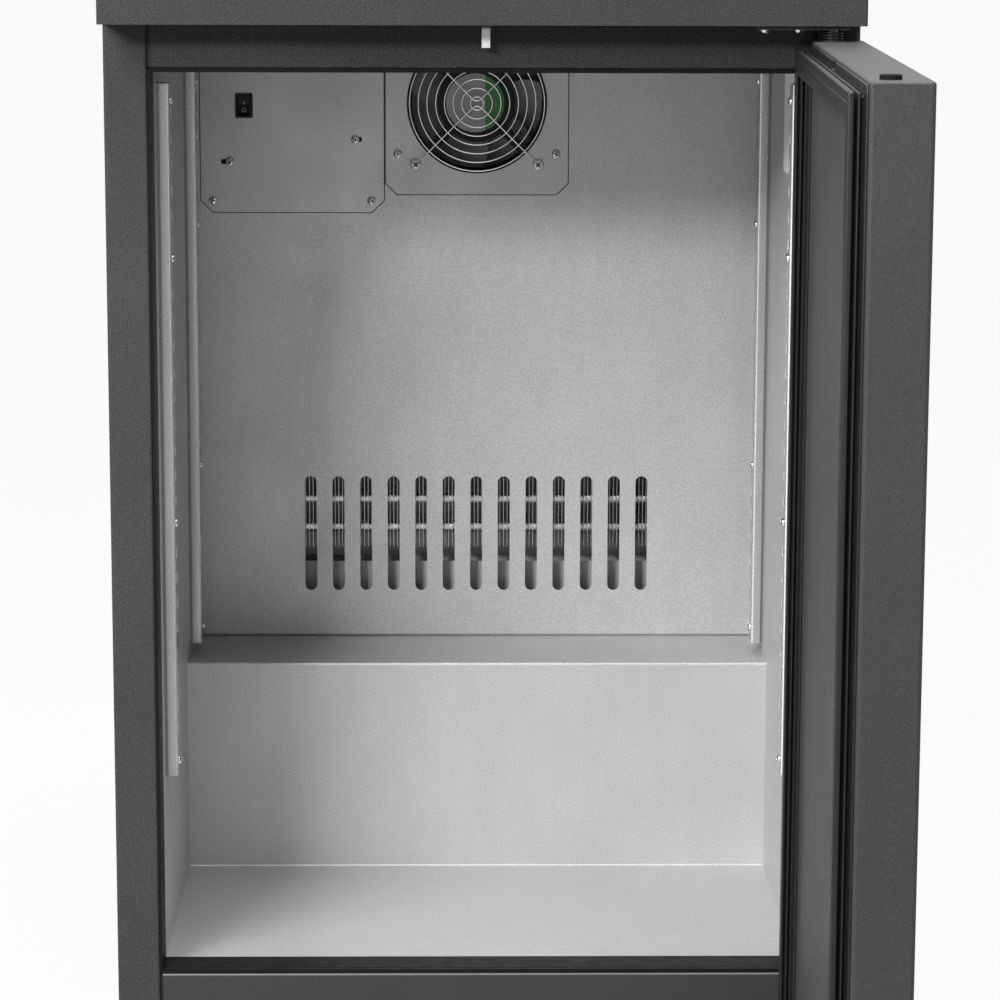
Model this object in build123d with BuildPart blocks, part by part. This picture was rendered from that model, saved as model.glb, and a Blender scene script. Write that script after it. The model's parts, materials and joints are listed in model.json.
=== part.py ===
from build123d import *
import os
from math import cos, pi, radians, sin, sqrt

os.makedirs("parts", exist_ok=True)

# A back bar cooler with one hinged door. It faces -Y, +Z is up, and the origin is
# the middle of the base pan's underside. Sizes are millimetres and degrees.

# Cabinet shell
cabinet_width = 560
cabinet_height = 825  # from the base pan's underside, without the feet
body_depth = 476
lip_overhang = 44
lip_height = 35
lip_edge_radius = 1.5
corner_radius = 2.5
sheet = 1.0
pan_sheet = 1.5
fold_radius = 2.0  # along the middle of a folded sheet
jamb_width = 32.5
fold_depth = 12
rear_fold = 16
seam_gap = 2.0
top_rail_height = 33.5
bottom_rail_height = 60.6
pan_rim = 18
skin_clearance = 1.0

# Plastic breaker frame, liner and insulation
breaker_side = 2.0
breaker_sill = 3.0
breaker_recess = 0.5
breaker_depth = 33.0
breaker_groove = 0.5
breaker_groove_setback = 4
breaker_groove_width = 1
roof_wall = 37
rear_wall = 32
bay_height = 211
bay_front = 81
bay_insulation = 31

# Evaporator cover and the panels screwed to it
evaporator_depth = 50
cover_side_gap = 0.5
cover_flange = 20
panel_top_gap = 2.5
panel_gap = 1.7
fan_plate_size = 156
fan_plate_chamfer = 9.9
switch_side_gap = 9.2
switch_panel_height = 171.5
switch_panel_chamfer = 10.6
fan_plate_screw_reach = (67.7, 43.3)  # from the fan's centre, across and up
switch_corner_insets = ((10.1, 10.2), (10.5, 9.9))  # left and right, from side and bottom
switch_slot_insets = ((25.1, 43.4), (24.3, 62.3))
switch_slot_runs = (-5.6, 3.4)
switch_slot_play = 1
intake_slot_width = 10.4
intake_slot_length = 101
intake_slot_pitch = 24
intake_slot_count = 13
intake_slot_rise = 41

# Evaporator fan
fan_size = 119
fan_depth = 38
fan_opening = 120
fan_bore = 116
fan_blade_gap = 1.5
fan_screw_pitch = 104.8
fan_corner = 5
fan_flange = 4
stator_radius = 33.3
stator_depth = 11
strut_width = 9
fan_hub_radius = 30
fan_blades = 7
fan_blade_chord = 34
fan_shaft_radius = 3
fan_wheel_gap = 1
fan_wheel_setback = 4
stator_wall = 2
strut_overlap = 4
blade_pitch = 35
blade_thickness = 1.6
blade_root = 0.8  # of the hub's radius, so that each blade starts inside the hub
running_clearance = 0.05
guard_wire = 1.4
guard_stand_off = 5
guard_spoke_lift = 1.1  # the diagonal wires are welded on in front of the rings
guard_inner_ring = 5.6
guard_ring_pitch = 7.44
guard_ring_count = 8
guard_overrun = 3
guard_bend = 1.5
guard_toe = 1
eyelet_radius = 4

# Screws
dome_head_radius = 3.9
dome_head_height = 2.4
washer_head_radius = 4.9
washer_head_height = 2.8
screw_radius = 1.8
guard_screw_radius = 2.1
hole_clearance = 0.05

# Shelf pilasters
pilaster_depth = 10
pilaster_width = 22
pilaster_fold = 1.5
pilaster_top_gap = 45.8
pilaster_screw_drops = (12.3, 132.6, 338.5)
front_last_screw = 10.2
rear_last_screw = 12
front_pilaster_length = 537.7
rear_pilaster_foot_gap = 8.2
front_pilaster_setback = 19.5
rear_pilaster_setback = 293.1
shelf_slot_pitch = 20
shelf_slot_length = 9
shelf_slot_width = 3.5
shelf_slot_first = 22
shelf_slot_margin = 9.5

# Rocker switch
bezel_width = 15.1
bezel_height = 20.9
bezel_thickness = 2
rocker_body_width = 13
rocker_body_height = 19
rocker_body_depth = 20
rocker_wall = 1.0
rocker_key_height = 14
rocker_key_gap = 0.3
rocker_tilt = 10
rocker_axle_radius = 1.2
rocker_from_left = 37.45
rocker_from_bottom = 90.95
rocker_pivot_depth = 3.5
rocker_key_front = 5
rocker_key_dip = 1.4
rocker_key_back = 2
rocker_key_shoulder = 1

# Door
door_side_gap = 2
door_thickness = 39
door_top_gap = 11.7
door_bottom_gap = 6
door_corner = 3
door_edge_radius = 2
door_flange = 24
door_rest_angle = 87.5
gasket_gap = 12.5
gasket_clearance = 0.3
gasket_inset = 6.4
gasket_face = 17.5
gasket_magnet = 4.9
gasket_neck_inset = 10.0
gasket_neck_width = 10.0
gasket_rib_width = 14.0
gasket_rib_height = 2.4
gasket_base_height = 2.8
door_panel_lap = 12
plug_radius = 6.75
plug_head = 3

# Hinges
hinge_end = 22  # from the pin to the door's hinge side end
hinge_edge = 14  # from the pin to the door's inner edge
pin_radius = 4
pin_reach = 12
bush_radius = 6
bush_length = 14
bush_flange = 1
bush_flange_radius = 8.5
hinge_plate = 3
hinge_plate_margin = 12
hinge_plate_front = 11.5
upper_plate_back = 18.5
lower_plate_back = 54.5
hinge_plate_reach = 56
hinge_screw_offsets = (-49, -24)
hinge_screw_radius = 2.5
hinge_head_radius = 4.6
hinge_head_height = 2.9
lower_screw_back = 47
collar_radius = 7
spring_radius = 7.3
spring_wire = 1.4
spring_turns = 3
spring_end_gap = 0.05

# Door switch
lever_x = 2.7
lever_width = 6.2
lever_thickness = 5
lever_drop = 17.7
lever_gap = 0.3
axle_radius = 1.25
axle_drop = 4.3
switch_plate_width = 26
switch_plate_depth = 18
switch_plate_thickness = 1.5
ear_thickness = 1.6
ear_drop = 7

# Feet
foot_height = 25
foot_inset_side = 45
foot_inset_depth = 50
foot_pad_radius = 19
foot_pad_height = 8
foot_hex = 17
foot_hex_height = 7
stud_radius = 5
stud_reach = 8
nut_height = 8

# Machine bay
compressor_from_side = 130
compressor_y = 160
compressor_radius = 70
compressor_top = 185
compressor_seam = 3
compressor_seam_half = 2
compressor_foot_inset = 22
compressor_foot_rise = 20
compressor_shoulder = 40
compressor_crown_inset = 28
compressor_crown_drop = 6
compressor_plate = (180, 125)
compressor_plate_thickness = 3
mount_spacing = (160, 100)
mount_radius = 9
mount_height = 18.5
mount_flange = 6
mount_neck = 5
mount_neck_inset = 2
mount_stud_radius = 3
mount_stud_end = 4
terminal_box = (43, 60, 50)
terminal_box_rise = 25
terminal_box_overlap = 6
terminal_box_edge = 4
port_length = 40
port_reach = 9
suction_port_z = 120
discharge_port_z = 150
condenser_from_side = 200
condenser_depth = 40
condenser_width = 130
condenser_height = 163
condenser_rise = 10.5
condenser_y = 160
fin_pitch = 8
fin_gap = 6
fin_margin = 3
tube_core = 6
shroud_thickness = 2
condenser_ring_depth = 20
condenser_motor_radius = 22
condenser_motor_length = 38
condenser_fan_radius = 56
condenser_hub_radius = 24
condenser_blades = 5
condenser_blade_chord = 24
condenser_strut = 6
condenser_strut_depth = 4
condenser_shaft_reach = 12
condenser_shaft_hole = 14
condenser_wheel_gap = 1
grille_bridge = 7.8
grille_slot_height = 5
grille_columns = 5
grille_pitch = 18
suction_radius = 4
liquid_radius = 3
pipe_bend = 10
pipe_clearance = 1.5
suction_from_side = 23.5
suction_y = 182
liquid_from_side = 45.5
liquid_y = 196
drier_radius = 9.5
drier_length = 100
drier_bottom = 60
drier_neck = 4
drier_taper = 10
pipe_run_drop = 13
discharge_run_drop = 3
discharge_run = 42
suction_run = 25
suction_coil_rise = 60
liquid_coil_rise = 110
condenser_outlet_rise = 18
drain_radius = 8
drain_x = -30
coil_from_side = 70.5
coil_tray_gap = 15
coil_fan_gap = 48
coil_depth = 32
coil_rear_gap = 8
coil_plate_margin = 5
coil_plate_front = 2
tray_overlap = 10
tray_height = 63
tray_depth = 28
gland_radius = 8
gland_flange = 11

# Places that follow from the sizes
half_width = cabinet_width / 2
front = -body_depth / 2
back = body_depth / 2
lip_front = front - lip_overhang
lip_bottom = cabinet_height - lip_height
outer_fold = fold_radius + sheet / 2
inner_fold = fold_radius - sheet / 2
foam_front = front + fold_depth + skin_clearance
frame_half = half_width - jamb_width
frame_bottom = bottom_rail_height
frame_top = lip_bottom - top_rail_height
opening_half = frame_half - breaker_side
opening_bottom = frame_bottom + breaker_sill
opening_top = frame_top - breaker_sill
rail_half = frame_half - seam_gap
door_width = cabinet_width - 2 * door_side_gap
breaker_front = front + breaker_recess
liner_front = breaker_front + breaker_depth
liner_back = back - rear_wall
ceiling = cabinet_height - roof_wall
hump_top = bay_height + bay_insulation
hump_front = bay_front - bay_insulation
cover_front = liner_back - evaporator_depth
plate_front = cover_front - sheet
fan_z = ceiling - panel_top_gap - fan_plate_size / 2
fan_front = cover_front + sheet
blade_tip = fan_bore / 2 - fan_blade_gap
guard_y = plate_front - guard_stand_off
switch_right = -(fan_plate_size / 2 + panel_gap)
switch_left = switch_side_gap - opening_half
switch_panel_width = switch_right - switch_left
switch_top = ceiling - panel_top_gap
switch_bottom = switch_top - switch_panel_height
rocker_x = switch_left + rocker_from_left
rocker_z = switch_bottom + rocker_from_bottom
compressor_x = compressor_from_side - half_width
condenser_x = half_width - condenser_from_side
suction_x = opening_half - suction_from_side
liquid_x = opening_half - liquid_from_side
coil_half_width = opening_half - coil_from_side
coil_bottom = hump_top + tray_height + coil_tray_gap
coil_height = fan_z - fan_size / 2 - coil_fan_gap - coil_bottom
tray_half_width = coil_half_width + tray_overlap
pan_half = half_width - sheet
pan_corner = outer_fold + inner_fold
door_bottom = door_bottom_gap
door_top = lip_bottom - door_top_gap
hinge_x = door_width / 2 - hinge_end
hinge_y = front - gasket_gap - hinge_edge
door_left = hinge_end - door_width
door_right = hinge_end
door_outside = hinge_edge - door_thickness
plug_x = door_left + hinge_end
gasket_height = gasket_gap - gasket_clearance


# A plane facing the front at depth y, with sketch axes X and Z
def front_plane(y):
    return Plane.XZ.offset(-y)


# The same plane turned about its own Z
def turned_plane(plane, angle):
    turn = radians(angle)
    x_dir = plane.x_dir * cos(turn) + plane.y_dir * sin(turn)
    return Plane(origin=plane.origin, x_dir=x_dir, z_dir=plane.z_dir)


# A rectangle or a block given by its two corners
def rectangle_between(x0, x1, y0, y1, radius=0, mode=Mode.ADD):
    with Locations(((x0 + x1) / 2, (y0 + y1) / 2)):
        if radius:
            RectangleRounded(x1 - x0, y1 - y0, radius, mode=mode)
        else:
            Rectangle(x1 - x0, y1 - y0, mode=mode)


def block_between(x0, x1, y0, y1, z0, z1, mode=Mode.ADD):
    with Locations(((x0 + x1) / 2, (y0 + y1) / 2, (z0 + z1) / 2)):
        Box(x1 - x0, y1 - y0, z1 - z0, mode=mode)


# The section of a sheet folded along a middle line
def folded_section(plane, points, thickness=sheet, radius=fold_radius):
    with BuildSketch(plane) as section:
        with BuildLine():
            FilletPolyline(*points, radius=radius)
        trace(line_width=thickness)
    return section.sketch


# A screw on a seat plane: domed head outside, plain shank inside
def dome_screw(seat, head_radius, head_height, shank_radius, shank_length):
    side = Plane(origin=seat.origin, x_dir=seat.x_dir, z_dir=seat.x_dir.cross(seat.z_dir))
    with BuildSketch(side) as profile:
        with BuildLine():
            Polyline(
                (0, head_height),
                (0, -shank_length),
                (shank_radius, -shank_length),
                (shank_radius, 0),
                (head_radius, 0),
            )
            TangentArc((0, head_height), (head_radius, 0), tangent=(1, 0))
        make_face()
    revolve(profile.sketch, axis=Axis(seat.origin, seat.z_dir))


# A round tube or rod along a route of straight runs and tangent arcs
def pipe(points, radius, bend):
    with BuildLine() as route:
        FilletPolyline(*points, radius=bend)
    wire = route.wire()
    with BuildSketch(Plane(origin=wire @ 0, z_dir=wire % 0)) as section:
        Circle(radius)
    sweep(section.sketch, path=wire)


# A bladed wheel: hub, shaft and pitched blades, cut off round at the tip.
# The plane's origin is the middle of the hub, and its Z is the axle.
def bladed_wheel(plane, hub_radius, tip_radius, count, chord, depth, shaft_radius, shaft_reach):
    with BuildSketch(plane.offset(-depth / 2)) as rim:
        Circle(tip_radius)
    for index in range(count):
        turned = turned_plane(plane, index * 360 / count)
        root = turned.from_local_coords((hub_radius * blade_root, 0, 0))
        with BuildSketch(Plane(origin=root, x_dir=turned.y_dir, z_dir=turned.x_dir)) as section:
            SlotOverall(chord, blade_thickness, rotation=blade_pitch)
        extrude(section.sketch, amount=tip_radius)
    extrude(rim.sketch, amount=depth, mode=Mode.INTERSECT)
    with BuildSketch(plane.offset(-depth / 2)) as hub:
        Circle(hub_radius)
    extrude(hub.sketch, amount=depth)
    with BuildSketch(plane.offset(-depth / 2)) as shaft:
        Circle(shaft_radius)
    extrude(shaft.sketch, amount=-shaft_reach)


# Cabinet

for side, name in ((-1, "left"), (1, "right")):
    wall = side * (half_width - sheet / 2)
    jamb_edge = side * (frame_half + sheet / 2)
    panel_line = [
        (side * (half_width - rear_fold), back - sheet / 2),
        (wall, back - sheet / 2),
        (wall, front + sheet / 2),
        (jamb_edge, front + sheet / 2),
        (jamb_edge, front + fold_depth),
    ]
    with BuildPart() as side_panel:
        extrude(folded_section(Plane.XY, panel_line), amount=lip_bottom)
    side_panel.part.label = f"side_panel_{name}"
    export_step(side_panel.part, f"parts/side_panel_{name}.step")

hinge_screw_places = [(hinge_x + offset, hinge_y) for offset in hinge_screw_offsets]
lower_screw_places = [(hinge_x + offset, hinge_y + lower_screw_back) for offset in hinge_screw_offsets]

with BuildPart() as top_cover:
    with BuildSketch(Plane.XY.offset(lip_bottom)):
        rectangle_between(-half_width, half_width, lip_front, back, corner_radius)
    extrude(amount=lip_height)
    fillet(top_cover.faces().sort_by(Axis.Z)[-1].edges(), lip_edge_radius)
    offset(amount=-sheet, openings=top_cover.faces().sort_by(Axis.Z)[0])
    with BuildSketch(Plane.XY.offset(lip_bottom)):
        rectangle_between(
            -half_width + sheet,
            half_width - sheet,
            lip_front + sheet,
            front + fold_depth,
            corner_radius - sheet,
        )
        with Locations(*hinge_screw_places):
            Circle(hinge_screw_radius + hole_clearance, mode=Mode.SUBTRACT)
    extrude(amount=sheet)
top_cover.part.label = "top_cover"
export_step(top_cover.part, "parts/top_cover.step")

with BuildPart() as top_rail:
    rail_line = [
        (front + fold_depth, lip_bottom - sheet / 2),
        (front + sheet / 2, lip_bottom - sheet / 2),
        (front + sheet / 2, frame_top + sheet / 2),
        (front + fold_depth, frame_top + sheet / 2),
    ]
    extrude(folded_section(Plane.YZ, rail_line), amount=rail_half, both=True)
top_rail.part.label = "top_rail"
export_step(top_rail.part, "parts/top_rail.step")

with BuildPart() as bottom_rail:
    rail_line = [
        (front + fold_depth, frame_bottom - sheet / 2),
        (front + sheet / 2, frame_bottom - sheet / 2),
        (front + sheet / 2, sheet / 2),
        (front + fold_depth, sheet / 2),
    ]
    extrude(folded_section(Plane.YZ, rail_line), amount=rail_half, both=True)
bottom_rail.part.label = "bottom_rail"
export_step(bottom_rail.part, "parts/bottom_rail.step")

foot_places = {
    "front_left": (-half_width + foot_inset_side, front + foot_inset_depth),
    "front_right": (half_width - foot_inset_side, front + foot_inset_depth),
    "rear_left": (-half_width + foot_inset_side, back - foot_inset_depth),
    "rear_right": (half_width - foot_inset_side, back - foot_inset_depth),
}
mount_places = [
    (compressor_x + i * mount_spacing[0] / 2, compressor_y + j * mount_spacing[1] / 2)
    for i in (-1, 1)
    for j in (-1, 1)
]

with BuildPart() as base_pan:
    with BuildSketch():
        rectangle_between(-pan_half, pan_half, foam_front, back - sheet, pan_corner)
    extrude(amount=pan_rim)
    offset(amount=-pan_sheet, openings=base_pan.faces().sort_by(Axis.Z)[-1])
    with BuildSketch(Plane.XY.offset(pan_sheet)):
        with Locations(*foot_places.values()):
            RegularPolygon(foot_hex / 2, 6, major_radius=False)
    extrude(amount=nut_height)
    with BuildSketch(Plane.XY.offset(pan_sheet)):
        with Locations(*mount_places):
            Circle(mount_stud_radius)
    extrude(amount=mount_height + compressor_plate_thickness + mount_stud_end)
    with BuildSketch():
        with Locations(*foot_places.values()):
            Circle(stud_radius + running_clearance)
    extrude(amount=pan_sheet + nut_height, mode=Mode.SUBTRACT)
    with BuildSketch():
        with Locations(*lower_screw_places):
            Circle(hinge_screw_radius + hole_clearance)
    extrude(amount=pan_sheet, mode=Mode.SUBTRACT)
base_pan.part.label = "base_pan"
export_step(base_pan.part, "parts/base_pan.step")

with BuildPart() as rear_panel:
    edge = half_width - pan_corner
    block_between(-edge, edge, back - 2 * sheet, back - sheet, bay_height - fold_depth, lip_bottom)
rear_panel.part.label = "rear_panel"
export_step(rear_panel.part, "parts/rear_panel.step")

gland_x = -half_width + foot_inset_side
gland_z = 2 * pan_rim

with BuildPart() as rear_grille:
    with BuildSketch(front_plane(back)):
        edge = half_width - rear_fold / 2
        rectangle_between(-edge, edge, pan_rim / 2, bay_height + sheet, corner_radius)
        grille_rows = int((bay_height - 2 * pan_rim - grille_pitch) / grille_pitch)
        column_pitch = 2 * edge / grille_columns - grille_slot_height
        with Locations((0, (bay_height + 2 * pan_rim) / 2)):
            with GridLocations(column_pitch, grille_pitch, grille_columns, grille_rows):
                SlotOverall(column_pitch - grille_bridge, grille_slot_height, mode=Mode.SUBTRACT)
        with Locations((gland_x, gland_z)):
            Circle(gland_radius + hole_clearance, mode=Mode.SUBTRACT)
    extrude(amount=-sheet)
rear_grille.part.label = "rear_grille"
export_step(rear_grille.part, "parts/rear_grille.step")

with BuildPart() as cord_gland:
    with BuildSketch(front_plane(back + sheet)):
        with Locations((gland_x, gland_z)):
            Circle(gland_flange)
            Circle(gland_radius / 2, mode=Mode.SUBTRACT)
    extrude(amount=-sheet * 3)
    with BuildSketch(front_plane(back + sheet)):
        with Locations((gland_x, gland_z)):
            Circle(gland_radius)
            Circle(gland_radius / 2, mode=Mode.SUBTRACT)
    extrude(amount=fold_depth)
    fillet(cord_gland.faces().sort_by(Axis.Y)[-1].edges().sort_by(Edge.length)[-1], sheet)
cord_gland.part.label = "cord_gland"
export_step(cord_gland.part, "parts/cord_gland.step")

bay_half = pan_half - pan_sheet - cover_side_gap
pipe_holes = [
    (suction_x, suction_y, suction_radius + pipe_clearance),
    (liquid_x, liquid_y, liquid_radius + pipe_clearance),
    (drain_x, liquid_y, drain_radius + hole_clearance),
]


# The pipes and the drain pass down through everything between bay and liner
def cut_pipe_holes(bottom, top):
    for x, y, radius in pipe_holes:
        with Locations((x, y, (bottom + top) / 2)):
            Cylinder(radius, top - bottom, mode=Mode.SUBTRACT)


with BuildPart() as bay_bulkhead:
    bulkhead_line = [
        (bay_front + sheet / 2, pan_sheet),
        (bay_front + sheet / 2, bay_height - sheet / 2),
        (back - 2 * sheet, bay_height - sheet / 2),
    ]
    extrude(folded_section(Plane.YZ, bulkhead_line), amount=bay_half, both=True)
    cut_pipe_holes(bay_height - sheet, bay_height)
bay_bulkhead.part.label = "bay_bulkhead"
export_step(bay_bulkhead.part, "parts/bay_bulkhead.step")

# The liner's outside, seen from the side: floor, step over the machine bay, back, roof
with BuildSketch(Plane.YZ) as liner_outline:
    with BuildLine():
        FilletPolyline(
            (liner_front, opening_bottom - sheet),
            (hump_front + sheet, opening_bottom - sheet),
            (hump_front + sheet, hump_top - sheet),
            (liner_back + sheet, hump_top - sheet),
            (liner_back + sheet, ceiling + sheet),
            (liner_front, ceiling + sheet),
            radius=[0, outer_fold, inner_fold, outer_fold, outer_fold, outer_fold],
            close=True,
        )
    make_face()

with BuildPart() as liner_wrapper:
    liner_line = [
        (liner_front + sheet / 2, opening_top),
        (liner_front + sheet / 2, ceiling + sheet / 2),
        (liner_back + sheet / 2, ceiling + sheet / 2),
        (liner_back + sheet / 2, hump_top - sheet / 2),
        (hump_front + sheet / 2, hump_top - sheet / 2),
        (hump_front + sheet / 2, opening_bottom - sheet / 2),
        (liner_front, opening_bottom - sheet / 2),
    ]
    extrude(folded_section(Plane.YZ, liner_line), amount=opening_half, both=True)
    cut_pipe_holes(hump_top - sheet, hump_top)
liner_wrapper.part.label = "liner_wrapper"
export_step(liner_wrapper.part, "parts/liner_wrapper.step")

# Pilasters: name, depth of the front web, length and screw places below the top
pilaster_top = ceiling - pilaster_top_gap
rear_pilaster_length = pilaster_top - hump_top - rear_pilaster_foot_gap
front_screws = (*pilaster_screw_drops, front_pilaster_length - front_last_screw)
rear_screws = (*pilaster_screw_drops, rear_pilaster_length - rear_last_screw)
pilasters = (
    ("front", liner_front + front_pilaster_setback, front_pilaster_length, front_screws),
    ("rear", liner_front + rear_pilaster_setback, rear_pilaster_length, rear_screws),
)

for side, name in ((-1, "left"), (1, "right")):
    with BuildPart() as liner_side:
        outline = liner_outline.sketch.moved(Location((side * opening_half, 0, 0)))
        extrude(outline, amount=side * sheet)
        for place, web_y, length, screws in pilasters:
            for drop in screws:
                wall_x = side * (opening_half + sheet / 2)
                with Locations((wall_x, web_y + pilaster_width / 2, pilaster_top - drop)):
                    Cylinder(screw_radius + hole_clearance, sheet, rotation=(0, 90, 0), mode=Mode.SUBTRACT)
    liner_side.part.label = f"liner_side_{name}"
    export_step(liner_side.part, f"parts/liner_side_{name}.step")

foam_half = half_width - sheet
foam_top = cabinet_height - sheet - skin_clearance

with BuildPart() as cabinet_foam:
    with BuildSketch(Plane.XY.offset(pan_rim)):
        rectangle_between(-foam_half, foam_half, foam_front, back - 2 * sheet, pan_corner)
    extrude(amount=foam_top - pan_rim)
    block_between(
        -foam_half + corner_radius,
        foam_half - corner_radius,
        lip_front + sheet + skin_clearance,
        foam_front,
        lip_bottom + sheet,
        foam_top,
    )
    inside = foam_half - pan_sheet
    block_between(-inside + 1, inside - 1, foam_front + 2 * pan_sheet, bay_front, pan_sheet, pan_rim)
    block_between(-foam_half, foam_half, bay_front, back, pan_rim, bay_height, mode=Mode.SUBTRACT)
    block_between(
        -frame_half, frame_half, foam_front, liner_front, frame_bottom, frame_top, mode=Mode.SUBTRACT
    )
    extrude(liner_outline.sketch, amount=opening_half + sheet, both=True, mode=Mode.SUBTRACT)
    with BuildSketch(Plane.XY.offset(pan_sheet)):
        with Locations(foot_places["front_left"], foot_places["front_right"]):
            Circle(foot_hex / 2 + 3 * skin_clearance)
    extrude(amount=nut_height + skin_clearance, mode=Mode.SUBTRACT)
    cut_pipe_holes(bay_height, hump_top)
cabinet_foam.part.label = "cabinet_foam"
export_step(cabinet_foam.part, "parts/cabinet_foam.step")

with BuildPart() as breaker_frame:
    with BuildSketch(front_plane(liner_front)):
        rectangle_between(-frame_half, frame_half, frame_bottom, frame_top)
        rectangle_between(-opening_half, opening_half, opening_bottom, opening_top, mode=Mode.SUBTRACT)
    extrude(amount=breaker_depth)
    with BuildSketch(front_plane(breaker_front + breaker_groove_setback)):
        reach = breaker_groove
        rectangle_between(
            -opening_half - reach, opening_half + reach, opening_bottom - reach, opening_top + reach
        )
        rectangle_between(-opening_half, opening_half, opening_bottom, opening_top, mode=Mode.SUBTRACT)
    extrude(amount=-breaker_groove_width, mode=Mode.SUBTRACT)
breaker_frame.part.label = "breaker_frame"
export_step(breaker_frame.part, "parts/breaker_frame.step")

# Pilasters

for side, name in ((-1, "left"), (1, "right")):
    for place, web_y, length, screws in pilasters:
        face_x = side * (opening_half - pilaster_depth)
        channel_line = [
            (side * opening_half, web_y + sheet / 2),
            (face_x + side * sheet / 2, web_y + sheet / 2),
            (face_x + side * sheet / 2, web_y + pilaster_width - sheet / 2),
            (side * opening_half, web_y + pilaster_width - sheet / 2),
        ]
        middle_y = web_y + pilaster_width / 2
        slot_total = int((length - shelf_slot_first - shelf_slot_length) / shelf_slot_pitch) + 1
        slot_drops = [shelf_slot_first + i * shelf_slot_pitch for i in range(slot_total)]
        with BuildPart() as pilaster:
            base = Plane.XY.offset(pilaster_top - length)
            channel = folded_section(base, channel_line, radius=pilaster_fold)
            extrude(channel, amount=length)
            for drop in slot_drops:
                if min(abs(drop - screw) for screw in screws) > shelf_slot_margin:
                    with Locations((face_x + side * sheet / 2, middle_y, pilaster_top - drop)):
                        Box(2 * sheet, shelf_slot_width, shelf_slot_length, mode=Mode.SUBTRACT)
            for drop in screws:
                with Locations((face_x + side * sheet / 2, middle_y, pilaster_top - drop)):
                    Cylinder(
                        screw_radius + hole_clearance, 2 * sheet, rotation=(0, 90, 0), mode=Mode.SUBTRACT
                    )
        pilaster.part.label = f"pilaster_{place}_{name}"
        export_step(pilaster.part, f"parts/pilaster_{place}_{name}.step")

with BuildPart() as pilaster_screws:
    for side in (-1, 1):
        for place, web_y, length, screws in pilasters:
            for drop in screws:
                head_x = side * (opening_half - pilaster_depth)
                origin = (head_x, web_y + pilaster_width / 2, pilaster_top - drop)
                seat = Plane(origin=origin, x_dir=(0, 0, 1), z_dir=(-side, 0, 0))
                dome_screw(seat, dome_head_radius, dome_head_height, screw_radius, pilaster_depth + sheet)
pilaster_screws.part.label = "pilaster_screws"
export_step(pilaster_screws.part, "parts/pilaster_screws.step")

# Evaporator cover, fan and switch panel

half_pitch = fan_screw_pitch / 2
guard_screw_places = [(i * half_pitch, fan_z + j * half_pitch) for i in (-1, 1) for j in (-1, 1)]
fan_plate_screws = [
    (i * fan_plate_screw_reach[0], fan_z + j * fan_plate_screw_reach[1]) for i in (-1, 1) for j in (-1, 1)
]
switch_corner_screws, switch_slot_screws = (
    [(switch_left + left[0], switch_bottom + left[1]), (switch_right - right[0], switch_bottom + right[1])]
    for left, right in (switch_corner_insets, switch_slot_insets)
)
panel_screw_places = fan_plate_screws + switch_corner_screws + switch_slot_screws


# Two of the switch panel's screws stand in slots, cut through panel and cover alike
def cut_switch_slots():
    for (x, z), run in zip(switch_slot_screws, switch_slot_runs):
        with Locations((x + run / 2, cover_front, z)):
            Box(abs(run), 2 * sheet, 2 * screw_radius + switch_slot_play, mode=Mode.SUBTRACT)
        for end_x in (x, x + run):
            with Locations((end_x, cover_front, z)):
                Cylinder(
                    screw_radius + switch_slot_play / 2, 2 * sheet, rotation=(90, 0, 0), mode=Mode.SUBTRACT
                )


with BuildPart() as evaporator_cover:
    cover_line = [
        (cover_front + cover_flange, hump_top + sheet / 2),
        (cover_front + sheet / 2, hump_top + sheet / 2),
        (cover_front + sheet / 2, ceiling - sheet / 2),
        (cover_front + cover_flange, ceiling - sheet / 2),
    ]
    extrude(folded_section(Plane.YZ, cover_line), amount=opening_half - cover_side_gap, both=True)
    with BuildSketch(front_plane(cover_front)):
        with Locations((0, fan_z)):
            Circle(fan_opening / 2 + sheet)
        with Locations(*guard_screw_places):
            Circle(guard_screw_radius + hole_clearance)
        with Locations(*fan_plate_screws, *switch_corner_screws):
            Circle(screw_radius + hole_clearance)
        with Locations((rocker_x, rocker_z)):
            Rectangle(rocker_body_width + 2 * hole_clearance, rocker_body_height + 2 * hole_clearance)
        with Locations((0, hump_top + intake_slot_rise + intake_slot_length / 2)):
            with GridLocations(intake_slot_pitch, 1, intake_slot_count, 1):
                SlotOverall(intake_slot_length, intake_slot_width, rotation=90)
    extrude(amount=-sheet, mode=Mode.SUBTRACT)
    cut_switch_slots()
evaporator_cover.part.label = "evaporator_cover"
export_step(evaporator_cover.part, "parts/evaporator_cover.step")

with BuildPart() as fan_plate:
    with BuildSketch(front_plane(cover_front)) as outline:
        with Locations((0, fan_z)):
            Rectangle(fan_plate_size, fan_plate_size)
        chamfer(outline.vertices().group_by(Axis.Y)[0], fan_plate_chamfer)
        with Locations((0, fan_z)):
            Circle(fan_opening / 2, mode=Mode.SUBTRACT)
        with Locations(*guard_screw_places):
            Circle(guard_screw_radius + hole_clearance, mode=Mode.SUBTRACT)
        with Locations(*fan_plate_screws):
            Circle(screw_radius + hole_clearance, mode=Mode.SUBTRACT)
    extrude(amount=sheet)
fan_plate.part.label = "fan_plate"
export_step(fan_plate.part, "parts/fan_plate.step")

with BuildPart() as switch_panel:
    with BuildSketch(front_plane(cover_front)) as outline:
        rectangle_between(switch_left, switch_right, switch_bottom, switch_top)
        chamfer(outline.vertices().group_by(Axis.Y)[0], switch_panel_chamfer)
        with Locations((rocker_x, rocker_z)):
            Rectangle(
                rocker_body_width + 2 * hole_clearance,
                rocker_body_height + 2 * hole_clearance,
                mode=Mode.SUBTRACT,
            )
        with Locations(*switch_corner_screws):
            Circle(screw_radius + hole_clearance, mode=Mode.SUBTRACT)
    extrude(amount=sheet)
    cut_switch_slots()
switch_panel.part.label = "switch_panel"
export_step(switch_panel.part, "parts/switch_panel.step")

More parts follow.
